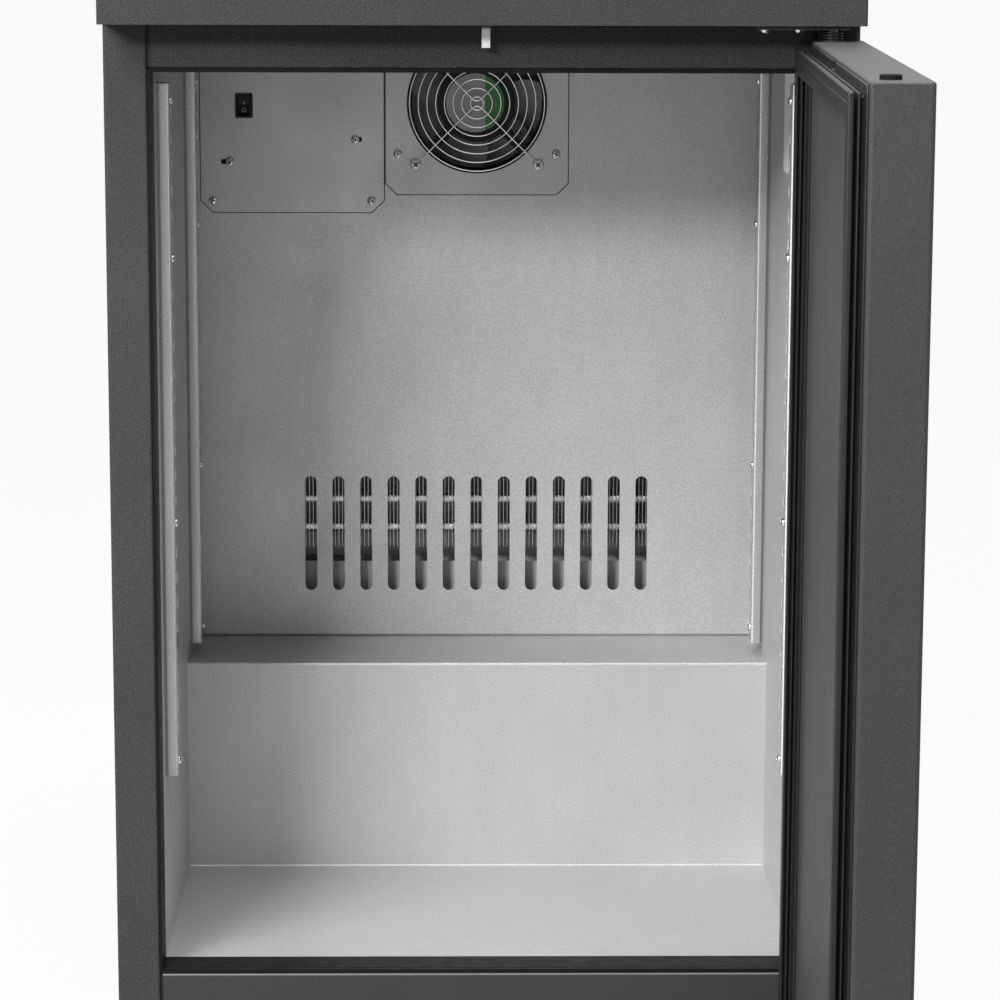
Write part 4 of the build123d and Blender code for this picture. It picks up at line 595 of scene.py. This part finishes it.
def punchStrip(name, side, middle, length, screwDrops):
    outer, inner = stripLine(0), stripLine(pilasterStrip["sheet"])
    top, wall, tall = pilasterLayout["top"], pilasterStrip["wall"], pilasterStrip["slot"][1]
    web = middle - pilasterStrip["width"] / 2
    room = length - pilasterStrip["firstSlot"] - pilasterStrip["endClear"]
    count = int(room / pilasterStrip["pitch"]) + 1
    slots = [pilasterStrip["firstSlot"] + i * pilasterStrip["pitch"] for i in range(count)]
    slots = [drop for drop in slots if min(abs(drop - screw) for screw in screwDrops) > pilasterStrip["clear"]]
    levels = [0] + [drop + end * tall / 2 for drop in slots for end in (-1, 1)] + [length]
    verts, faces, wear, around = [], [], [], len(outer)
    for drop in levels:
        for line in (outer, inner):
            verts += [millimetres(side * (wall - out), web + back, top - drop) for out, back in line]
    facePlace = around // 2 - 1
    for row in range(len(levels) - 1):
        here, below = 2 * around * row, 2 * around * (row + 1)
        slotted = row % 2 == 1
        for place in range(around - 1):
            if slotted and place == facePlace:
                continue
            for skin in (0, around):
                a, b = here + skin + place, below + skin + place
                faces.append((a, a + 1, b + 1, b))
                wear.append(stripShadeAndHighlight(place, around))
        edges = [0, around - 1] + ([facePlace, facePlace + 1] if slotted else [])
        faces += [(here + i, here + around + i, below + around + i, below + i) for i in edges]
        if slotted:
            faces += [(z + facePlace, z + facePlace + 1, z + around + facePlace + 1, z + around + facePlace)
                      for z in (here, below)]
        wear += [1] * (len(faces) - len(wear))
    for end in (0, 2 * around * (len(levels) - 1)):
        faces += [(end + i, end + i + 1, end + around + i + 1, end + around + i) for i in range(around - 1)]
    wear += [0] * (len(faces) - len(wear))
    mesh = makeMesh(name, verts, faces, smooth=30, closed=True)
    mesh.attributes.new("wear", "FLOAT", "FACE").data.foreach_set("value", wear)
    return mesh


def hangPilasters():
    for side, hand in ((-1, "left"), (1, "right")):
        rows = zip(("front", "rear"), pilasterLayout["middles"], pilasterLayout["lengths"], pilasterDrops)
        for place, middle, length, drops in rows:
            mesh = punchStrip(place + hand.title() + "Pilaster", side, middle, length, drops)
            seatPiece(mesh.name, mesh, "cabinet", "bright_steel", [f"pilaster_{place}_{hand}"])


# Fan guard: eight rings on two wires, each bent back at the middle and ending in eyelets

guard = {"wire": 0.57, "rings": 8, "innerRing": 5.6, "pitch": 7.44, "ringDepth": 150, "lift": 1.1, "standOff": 5,
         "screwPitch": 104.8, "eyelet": 3.3, "bend": 1.6, "middleBend": 5.6, "pastRing": 3, "beforeEyelet": 2.5}


def guardTree(finish):
    metres = {"Inner Ring": "innerRing", "Ring Pitch": "pitch", "Wire Radius": "wire",
              "Eyelet Pitch": "screwPitch", "Eyelet Radius": "eyelet"}
    sizes = {label: guard[key] / 1000 for label, key in metres.items()}
    sizes.update({"Rings": guard["rings"], "Eyelet Drop": (guard["standOff"] - guard["wire"]) / 1000,
                  "Centre": (0.0, 0.0, 0.0)})
    tree, node, given = newTree("fanGuard", sizes)
    line = node("GeometryNodeMeshLine", {"Count": given["Rings"], "Offset": (0, 0, 0)})
    index = node("GeometryNodeInputIndex")
    growth = {0: index, 1: given["Ring Pitch"], 2: given["Inner Ring"]}
    radius = node("ShaderNodeMath", growth, operation="MULTIPLY_ADD")
    ring = node("GeometryNodeCurvePrimitiveCircle", {"Radius": 1, "Resolution": 72})
    rings = node("GeometryNodeInstanceOnPoints", {
        "Points": line, "Instance": ring, "Scale": radius})
    pitch = given["Eyelet Pitch"]
    grid = node("GeometryNodeMeshGrid", {"Vertices X": 2, "Vertices Y": 2, "Size X": pitch, "Size Y": pitch})
    fall = node("ShaderNodeMath", {0: given["Eyelet Drop"], 1: -1}, operation="MULTIPLY")
    drop = node("ShaderNodeCombineXYZ", {"Z": fall})
    lower = node("GeometryNodeTransform", {"Geometry": grid, "Translation": drop})
    loop = node("GeometryNodeCurvePrimitiveCircle", {"Resolution": 24, "Radius": given["Eyelet Radius"]})
    eyelets = node("GeometryNodeInstanceOnPoints", {
        "Points": lower, "Instance": loop})
    spokes = node("GeometryNodeMeshToCurve", {"Mesh": given["Geometry"]})
    bend = node("GeometryNodeInputNamedAttribute", {"Name": "bend"}, data_type="FLOAT")
    bends = node("GeometryNodeFilletCurve", {
        "Curve": spokes, "Radius": bend, "Count": 8}, mode="POLY")
    wires = joined(tree, bends, eyelets, rings)
    realize = node("GeometryNodeRealizeInstances", {0: wires})
    even = node("GeometryNodeSetCurveRadius", {"Curve": realize, "Radius": 1})
    skin = wrapWire(tree, even, given["Wire Radius"], 10)
    stand = node("GeometryNodeTransform", {
        "Geometry": skin, "Rotation": (pi / 2, 0, 0), "Translation": given["Centre"]})
    return closeTree(tree, stand, finish)


def hangGuard():
    reach = guard["screwPitch"] / sqrt(2) - guard["eyelet"]
    edge = guard["innerRing"] + (guard["rings"] - 1) * guard["pitch"]
    low = guard["wire"] - guard["standOff"]
    arm = [(edge + guard["pastRing"], guard["lift"]), (reach - guard["beforeEyelet"], low), (reach, low)]
    verts, edges, bends = [], [], []
    for half in (1, -1):
        first = len(verts)
        line = [(-r, r, h, guard["bend"]) for r, h in reversed(arm)]
        line.append((0, 0, guard["lift"], guard["middleBend"]))
        line += [(r, r, h, guard["bend"]) for r, h in arm]
        verts += [millimetres(x * sqrt(0.5), y * half * sqrt(0.5), h) for x, y, h, bend in line]
        bends += [bend / 1000 for x, y, h, bend in line]
        edges += [(first + i, first + i + 1) for i in range(len(line) - 1)]
    wires = makeMesh("guardWires", verts, [], edges)
    wires.attributes.new("bend", "FLOAT", "POINT").data.foreach_set("value", bends)
    centre = (fanCentre[0] / 1000, guard["ringDepth"] / 1000, fanCentre[1] / 1000)
    mesh = growMesh("fanGuardWires", guardTree(finishes["chrome_wire"]), {"Centre": centre}, wires)
    mesh.shade_smooth()
    seatPiece("fanGuardWires", mesh, "cabinet", "chrome_wire", ["fan_guard"])


# Dark beads: a thin dark bead round each panel on the evaporator cover, a painted shadow for the gap at its
# edge, and a dark fill in the upright seams between the rails and the side panels

panelShadowLines = {"radius": 0.42, "depth": 156, "top": 785.2,
             "panels": ({"sides": (-78, 78), "bottom": 629.5, "cut": 9.9},
                        {"sides": (-236.3, -79.7), "bottom": 614, "cut": 10.6})}
seamSeals = {"radius": 0.98, "across": 246.5, "depth": -235.6, "runs": ((757.5, 789.5), (1, 59.6))}


def beadTree(finish):
    tree, node, given = newTree("sealBead", {"Bead Radius": panelShadowLines["radius"] / 1000})
    path = node("GeometryNodeMeshToCurve", {"Mesh": given["Geometry"]})
    return closeTree(tree, wrapWire(tree, path, given["Bead Radius"], 10), finish)


def layBeads(name, lines, radius):
    verts, edges = [], []
    for line in lines:
        edges += [(len(verts) + i, len(verts) + i + 1) for i in range(len(line) - 1)]
        verts += [millimetres(*point) for point in line]
    path = makeMesh(name + "Path", verts, [], edges)
    mesh = growMesh(name, beadTree(finishes["black_rubber"]), {"Bead Radius": radius / 1000}, path)
    mesh.shade_smooth()
    seatPiece(name, mesh, "cabinet", "black_rubber")


# Beads round the panels: painted shadow for the gap at each panel's edge
def runPanelShadowLines():
    out, depth, top = panelShadowLines["radius"], panelShadowLines["depth"], panelShadowLines["top"]
    lines = []
    for panel in panelShadowLines["panels"]:
        left, right = panel["sides"][0] - out, panel["sides"][1] + out
        low, cut = panel["bottom"] - out, panel["cut"]
        corners = ((left, top), (left, low + cut), (left + cut, low), (right - cut, low), (right, low + cut),
                   (right, top))
        lines.append([(x, depth, z) for x, z in corners])
    layBeads("panelBeads", lines, out)


def fillSeamsDark():
    across, depth = seamSeals["across"], seamSeals["depth"]
    lines = [[(side * across, depth, z) for z in run] for side in (-1, 1) for run in seamSeals["runs"]]
    layBeads("seamSeals", lines, seamSeals["radius"])


# Fan wheels: swept, twisted blades set round a hub cup by one tree

wheels = {
    "fanWheel": {"node": "fan_impeller", "body": "evaporator_fan", "slot": "black_plastic", "blades": 7,
                 "centre": (0, 180, 707.5), "turn": (-pi / 2, 0, 0), "hub": 30, "tip": 56.4, "depth": 21.6,
                 "pitch": (31, 14), "chord": (34, 62), "camber": 1.6, "sweep": 14, "shaft": (3, 9)},
    "condenserWheel": {"node": "condenser_fan_impeller", "body": "condenser_fan",
                       "slot": "fin_aluminium", "blades": 5,
                       "centre": (67, 160, 93.5), "turn": (0, pi / 2, 0), "hub": 24, "tip": 55.8, "depth": 15.8,
                       "pitch": (34, 17), "chord": (26, 48), "camber": 2.0, "sweep": 10, "shaft": (3, 12)},
}
bladeShape = {"thickness": 1.5, "edge": 0.12, "intoHub": 1.5, "bowRise": 0.6, "across": 8, "along": 14}


def bladeMesh(name, wheel):
    across, along = bladeShape["across"], bladeShape["along"]
    root = wheel["hub"] - bladeShape["intoHub"]
    (rootPitch, tipPitch), (rootChord, tipChord) = wheel["pitch"], wheel["chord"]
    verts, faces = [], []
    for i in range(across + 1):
        t = i / across
        r = root + (wheel["tip"] - root) * t
        pitch = radians(rootPitch + (tipPitch - rootPitch) * t)
        chord = rootChord + (tipChord - rootChord) * t
        for side in (1, -1):
            for j in range(along + 1) if side == 1 else range(along - 1, 0, -1):
                u = 2 * j / along - 1
                reach, bow = u * chord / 2, wheel["camber"] * (1 - u * u)
                half = bladeShape["thickness"] / 2 * (1 - u ** 4) ** 0.5 + bladeShape["edge"]
                turn = (reach * cos(pitch) - bow * sin(pitch)) / r + radians(wheel["sweep"]) * t * t
                height = reach * sin(pitch) + bow * cos(pitch) * bladeShape["bowRise"] + side * half
                verts.append(millimetres(r * cos(turn), r * sin(turn), height))
    loop = 2 * along
    for i in range(across):
        faces += ringFaces(loop * i, loop * (i + 1), loop)
    faces.append(list(range(loop)))
    faces.append([loop * across + j for j in reversed(range(loop))])
    return makeMesh(name, verts, faces, smooth=50, closed=True)


def hubMesh(name, wheel):
    hub, half = wheel["hub"], wheel["depth"] / 2
    shaft, reach = wheel["shaft"]
    profile = [(0, -half - reach), (shaft - 0.4, -half - reach), (shaft, -half - reach + 0.4), (shaft, -half),
               (hub - 2.5, -half), (hub - 1.2, -half + 0.3), (hub - 0.3, -half + 1.2), (hub, -half + 2.5),
               (hub, half - 0.5), (hub - 0.5, half), (hub - 1.9, half), (hub - 2.3, half - 0.5),
               (hub - 2.6, -half + 2.6), (0, -half + 2.6)]
    return lathe(name, profile, 56)


def wheelTree(finish):
    sizes = {"Blade": None, "Blades": 7, "Turn": (0.0, 0.0, 0.0), "Centre": (0.0, 0.0, 0.0)}
    tree, node, given = newTree("bladedWheel", sizes)
    blade = node("GeometryNodeObjectInfo", {"Object": given["Blade"]})
    seats = node("GeometryNodeMeshLine", {"Count": given["Blades"], "Offset": (0, 0, 0)})
    index = node("GeometryNodeInputIndex")
    step = node("ShaderNodeMath", {0: 2 * pi, 1: given["Blades"]}, operation="DIVIDE")
    angle = node("ShaderNodeMath", {0: index, 1: step}, operation="MULTIPLY")
    about = node("FunctionNodeAxisAngleToRotation", {"Axis": (0, 0, 1), "Angle": angle})
    place = node("GeometryNodeInstanceOnPoints", {
        "Points": seats, "Instance": blade.outputs["Geometry"],
        "Rotation": about})
    whole = joined(tree, given["Geometry"], place)
    seat = node("GeometryNodeTransform", {
        "Geometry": whole, "Rotation": given["Turn"], "Translation": given["Centre"]})
    return closeTree(tree, seat, finish)


def turnWheels():
    for name, wheel in wheels.items():
        blade = bpy.data.objects.new(name + "Blade", bladeMesh(name + "Blade", wheel))
        scene.collection.objects.link(blade)
        sizes = {"Blade": blade, "Blades": wheel["blades"], "Turn": wheel["turn"],
                 "Centre": tuple(millimetres(*wheel["centre"]))}
        finish = ownFinishes.get(wheel["node"], finishes[wheel["slot"]])
        mesh = growMesh(name, wheelTree(finish), sizes, hubMesh(name + "Hub", wheel))
        bpy.data.objects.remove(blade)
        seatPiece(name, mesh, wheel["body"], wheel["slot"], [wheel["node"]])


# Coils: thin fins on straight tubes, between two end plates

coils = {
    "evaporatorFins": {"node": "evaporator_coil", "low": (-175, 166, 320), "high": (175, 198, 600), "along": 0,
                       "pitch": 3.2, "fin": 0.25, "tube": 4.7, "tubePitch": 25, "plate": 1, "lip": (2, 8, 5)},
    "condenserFins": {"node": "condenser_coil", "low": (80, 95, 12), "high": (120, 225, 175), "along": 1,
                      "pitch": 2.6, "fin": 0.25, "tube": 3.9, "tubePitch": 22, "plate": 1.5, "lip": (0, 0, 3)},
}


def finTree(finish):
    sizes = {"Fins": 10, "Fin Size": (1.0, 1.0, 1.0), "First Fin": (0.0, 0.0, 0.0), "Fin Step": (1.0, 0.0, 0.0),
             "Tubes": 4, "Tube Radius": 0.004, "Tube Length": 1.0, "First Tube": (0.0, 0.0, 0.0),
             "Tube Step": (0.0, 0.0, 1.0), "Tube Turn": (0.0, 0.0, 0.0)}
    tree, node, given = newTree("finPack", sizes)

    def setRow(piece, count, first, step):
        line = node("GeometryNodeMeshLine", {
            "Count": given[count], "Start Location": given[first], "Offset": given[step]})
        return node("GeometryNodeInstanceOnPoints", {"Points": line, "Instance": piece})

    fin = node("GeometryNodeMeshCube", {"Size": given["Fin Size"]})
    tube = node("GeometryNodeMeshCylinder", {
        "Vertices": 20, "Radius": given["Tube Radius"], "Depth": given["Tube Length"]})
    lay = node("GeometryNodeTransform", {"Geometry": tube, "Rotation": given["Tube Turn"]})
    fins = setRow(fin, "Fins", "First Fin", "Fin Step")
    tubes = setRow(lay, "Tubes", "First Tube", "Tube Step")
    return closeTree(tree, joined(tree, given["Geometry"], fins, tubes), finish)


def endPlates(name, coil):
    along, thick, lip = coil["along"], coil["plate"], coil["lip"]
    start, end = coil["low"][along], coil["high"][along]
    verts, faces = [], []
    for near, far in ((start - thick, start), (end, end + thick)):
        low, high = list(coil["low"]), list(coil["high"])
        low[along], high[along] = near, far
        low[1 - along] -= lip[0]
        high[1 - along] += lip[1]
        low[2], high[2] = low[2] - lip[2], high[2] + lip[2]
        first = len(verts)
        verts += [millimetres(x, y, z) for z in (low[2], high[2]) for x, y in
                  ((low[0], low[1]), (high[0], low[1]), (high[0], high[1]), (low[0], high[1]))]
        faces += [[first + i for i in face] for face in
                  ((3, 2, 1, 0), (4, 5, 6, 7), (0, 1, 5, 4), (1, 2, 6, 5), (2, 3, 7, 6), (3, 0, 4, 7))]
    return makeMesh(name, verts, faces)


def stackFins():
    for name, coil in coils.items():
        along, low, high = coil["along"], coil["low"], coil["high"]
        middle = [(a + b) / 2 for a, b in zip(low, high)]
        length = high[along] - low[along]
        fins = int(length / coil["pitch"]) - 1
        tubes = int((high[2] - low[2]) / coil["tubePitch"])
        finSize, firstFin, finStep = [b - a for a, b in zip(low, high)], list(middle), [0, 0, 0]
        finSize[along], finStep[along] = coil["fin"], coil["pitch"]
        firstFin[along] = middle[along] - (fins - 1) * coil["pitch"] / 2
        firstTube = (middle[0], middle[1], middle[2] - (tubes - 1) * coil["tubePitch"] / 2)
        sizes = {"Fins": fins, "Fin Size": tuple(millimetres(*finSize)),
                 "First Fin": tuple(millimetres(*firstFin)), "Fin Step": tuple(millimetres(*finStep)),
                 "Tubes": tubes, "Tube Radius": coil["tube"] / 1000, "Tube Length": length / 1000,
                 "First Tube": tuple(millimetres(*firstTube)),
                 "Tube Step": tuple(millimetres(0, 0, coil["tubePitch"])),
                 "Tube Turn": (0, pi / 2, 0) if along == 0 else (pi / 2, 0, 0)}
        mesh = growMesh(name, finTree(finishes["fin_aluminium"]), sizes, endPlates(name + "Plates", coil))
        seatPiece(name, mesh, "cabinet", "fin_aluminium", [coil["node"]])


# Door gasket: a bellows section carried round the door with rounded corners

door = {"pin": (256, -264.5), "turn": 87.5, "left": -534, "right": 22, "bottom": 6, "top": 778.3, "face": 14}
gasketSection = [
    (2.4, 0), (2.1, 0.8), (2.6, 1.5), (4.6, 1.7), (7.2, 1.9), (9.2, 2.5), (9.8, 3.3), (8.6, 4.0), (7.3, 4.5),
    (6.8, 5.2), (7.4, 5.9), (9.4, 6.4), (10.4, 7.0), (9.6, 7.7), (7.3, 8.1), (6.4, 8.7), (6.2, 9.7), (6.2, 10.8),
    (6.5, 11.7), (7.5, 12.15), (11.0, 12.2), (12.6, 11.9), (13.2, 11.5), (13.8, 11.9), (15.4, 12.2),
    (19.0, 12.2), (22.0, 12.2), (23.3, 12.0), (23.8, 11.3), (23.5, 10.2), (22.4, 9.4), (21.9, 8.6), (22.8, 7.9),
    (23.0, 7.0), (21.0, 6.2), (20.1, 5.3), (20.2, 4.2), (21.2, 3.2), (22.6, 2.2), (23.4, 1.2), (23.2, 0),
]
gasketCorner = {"outer": 8.2, "least": 0.4, "steps": 5}
leverRelief = {"along": -253.3, "flat": 9, "ramp": 12, "inset": 7.5, "rise": 2, "kept": 0.12, "level": 0.01,
               "longRun": 100}


def doorPoint(along, outward, z):
    turn = radians(door["turn"])
    x = door["pin"][0] + along * cos(turn) - outward * sin(turn)
    y = door["pin"][1] + along * sin(turn) + outward * cos(turn)
    return millimetres(x, y, z)


def smoothSection(points, cuts):
    rounded = []
    for i in range(len(points) - 1):
        before, a = Vector(points[max(i - 1, 0)]), Vector(points[i])
        b, after = Vector(points[i + 1]), Vector(points[min(i + 2, len(points) - 1)])
        for cut in range(cuts):
            t = cut / cuts
            rounded.append(0.5 * (2 * a + (b - before) * t + (2 * before - 5 * a + 4 * b - after) * t * t
                                  + (3 * a - before - 3 * b + after) * t ** 3))
    rounded.append(Vector(points[-1]))
    return rounded


# The top run gets four more points, so that the foot can dip where the door switch's lever stands
def splitTopRun(ring):
    top, middle = max(point[1] for point in ring), leverRelief["along"]
    ends = list(zip(ring, ring[1:] + ring[:1]))
    spot = next(i for i, (a, b) in enumerate(ends)
                if min(a[1], b[1]) > top - leverRelief["level"] and abs(a[0] - b[0]) > leverRelief["longRun"])
    heading = 1 if ends[spot][1][0] > ends[spot][0][0] else -1
    flat, slope = leverRelief["flat"] * heading, leverRelief["ramp"] * heading
    dip = [(middle + step, top) for step in (-slope, -flat, flat, slope)]
    return ring[:spot + 1] + dip + ring[spot + 1:]


def footRise(along, z, inset, rise):
    low = inset < leverRelief["inset"] and rise < leverRelief["rise"]
    near = abs(along - leverRelief["along"]) < leverRelief["flat"] + 1
    high = z > door["top"] - leverRelief["inset"]
    return rise * leverRelief["kept"] if low and near and high else rise


def fitGasket():
    section = smoothSection(gasketSection, 3)
    verts, faces = [], []
    for inset, rise in section:
        low = (door["left"] + inset, door["bottom"] + inset)
        high = (door["right"] - inset, door["top"] - inset)
        corner = max(gasketCorner["least"], gasketCorner["outer"] - inset)
        ring = splitTopRun(roundedOutline(low, high, corner, gasketCorner["steps"]))
        verts += [doorPoint(along, door["face"] + footRise(along, z, inset, rise), z) for along, z in ring]
    count, around = len(section), len(ring)
    for i in range(count):
        after = (i + 1) % count
        for place in range(around):
            beside = (place + 1) % around
            here, over = around * i, around * after
            faces.append((here + place, here + beside, over + beside, over + place))
    seatPiece("gasketBellows", makeMesh("gasketBellows", verts, faces, smooth=35), "door", "black_rubber",
              ["door_gasket"])


# Hinge spring: round wire wound between the door's bush and the hinge plate

spring = {"turns": 3, "radius": 7.3, "wire": 0.7, "bottom": 780.3, "top": 786.25}


def springTree(finish):
    sizes = {"Turns": float(spring["turns"]), "Coil Radius": spring["radius"] / 1000,
             "Height": (spring["top"] - spring["bottom"]) / 1000, "Wire Radius": spring["wire"] / 1000,
             "Foot": (0.0, 0.0, 0.0)}
    tree, node, given = newTree("hingeSpring", sizes)
    radius = given["Coil Radius"]
    coil = node("GeometryNodeCurveSpiral", {
        "Resolution": 40, "Rotations": given["Turns"], "Start Radius": radius, "End Radius": radius,
        "Height": given["Height"]})
    skin = wrapWire(tree, coil, given["Wire Radius"], 12)
    move = node("GeometryNodeTransform", {"Geometry": skin, "Translation": given["Foot"]})
    return closeTree(tree, move, finish)


def windSpring():
    foot = tuple(millimetres(*door["pin"], spring["bottom"]))
    mesh = growMesh("springCoil", springTree(ownFinishes["hinge_spring"]), {"Foot": foot})
    mesh.shade_smooth()
    seatPiece("springCoil", mesh, "cabinet", "screw_steel", ["hinge_spring"])


# Marks on the rocker key: a bar above a ring, printed on its two slopes

rocker = {"pivot": (-198.85, 158.5, 704.95), "tilt": 10, "slope": ((-5, 7), (-3.6, 0), (-5, -7)), "proud": 0.06,
          "bar": (0.4, 2.5), "barHalf": 0.35, "ring": (1.25, 1.8), "ringUp": -4.6, "ringSides": 28}


def keyPoint(x, inward, up):
    tilt = radians(rocker["tilt"])
    px, py, pz = rocker["pivot"]
    y, z = py + inward * cos(tilt) + up * sin(tilt), pz - inward * sin(tilt) + up * cos(tilt)
    return millimetres(px + x, y, z)


def markKey():
    (topIn, topUp), (midIn, _), (lowIn, lowUp) = rocker["slope"]

    def onSlope(x, up):
        end = (topIn, topUp) if up > 0 else (lowIn, lowUp)
        inward = midIn + (end[0] - midIn) * abs(up / end[1])
        return keyPoint(x, inward - rocker["proud"], up)

    (low, high), half, sides = rocker["bar"], rocker["barHalf"], rocker["ringSides"]
    verts = [onSlope(x, up) for x, up in ((-half, low), (half, low), (half, high), (-half, high))]
    for radius in rocker["ring"]:
        verts += [onSlope(x, rocker["ringUp"] + up) for x, up in circlePoints(radius, sides)]
    faces = [(0, 1, 2, 3), *ringFaces(4, 4 + sides, sides)]
    seatPiece("keyMarks", makeMesh("keyMarks", verts, faces), "rocker", "light_plastic")


# Plain stickers, with nothing printed on them

stickers = {"wall": {"x": 245.5, "y": (-110, -25), "z": (665, 770), "thick": 0.15, "corner": 3},
            "hub": {"radius": 25, "sides": 64, "depth": 157, "thick": 0.15, "split": 7.1, "shift": -1.6}}


def plate(name, outline, place, thick, material):
    count = len(outline)
    verts = [place(a, b, 0) for a, b in outline] + [place(a, b, thick) for a, b in outline]
    faces = [list(range(count))[::-1], [count + i for i in range(count)]]
    faces += [(i, (i + 1) % count, count + (i + 1) % count, count + i) for i in range(count)]
    mesh = makeMesh(name, verts, faces, closed=True)
    mesh.materials.append(material)
    seatPiece(name, mesh, "cabinet", None)


# Faintly fibrous paper or foil, with a green part beyond the split
def stickerPaper(name, low, high, split=None):
    material, tree, shader = newMaterial(name)
    space = objectSpace(tree)
    colour = ramp(tree, noiseOn(tree, space, 300, 3), [(0.3, low), (0.7, high)])
    if split is not None:
        across = addNode(tree, "ShaderNodeSeparateXYZ", {"Vector": space}).outputs["X"]
        beyond = addNode(tree, "ShaderNodeMath", {0: across, 1: split}, operation="GREATER_THAN").outputs[0]
        greens = [(0.3, (0.008, 0.16, 0.01)), (0.7, (0.011, 0.2, 0.013))]
        colour = layer(tree, colour, ramp(tree, noiseOn(tree, space, 300, 3), greens), beyond, "MIX")
    feed(shader, {"Base Color": colour, "Roughness": 0.38})
    bump(tree, shader, noiseOn(tree, space, 500, 2), 0.05, 0.0002)
    return material


def stickOn():
    wall = stickers["wall"]
    outline = roundedOutline((wall["y"][0], wall["z"][0]), (wall["y"][1], wall["z"][1]), wall["corner"])
    paper = stickerPaper("blankLabel", (0.84, 0.84, 0.83), (0.92, 0.92, 0.91))
    plate("wallLabel", outline, lambda a, b, h: millimetres(wall["x"] - h, a, b), wall["thick"], paper)
    hub = stickers["hub"]
    disc = circlePoints(hub["radius"], hub["sides"])
    x, z = fanCentre
    foil = stickerPaper("hubFoil", (0.31, 0.31, 0.31), (0.38, 0.38, 0.38), hub["split"] / 1000)
    plate("hubLabel", disc, lambda a, b, h: millimetres(x + hub["shift"] + a, hub["depth"] - h, z + b),
          hub["thick"], foil)


placeCamera()
lightWorld()
layFloor()
for name, box in softboxes.items():
    hangSoftbox(name, box)
print("camera, floor and light are up")
dressNodes()
print("finishes on every node")
allScrews()
hangPilasters()
hangGuard()
runPanelShadowLines()
fillSeamsDark()
print("screws, fan guard and darkBeads are on")
turnWheels()
stackFins()
print("fan wheels and coils are in")
fitGasket()
windSpring()
print("gasket and hinge spring are in")
markKey()
stickOn()
print("marks and plain stickers are on")
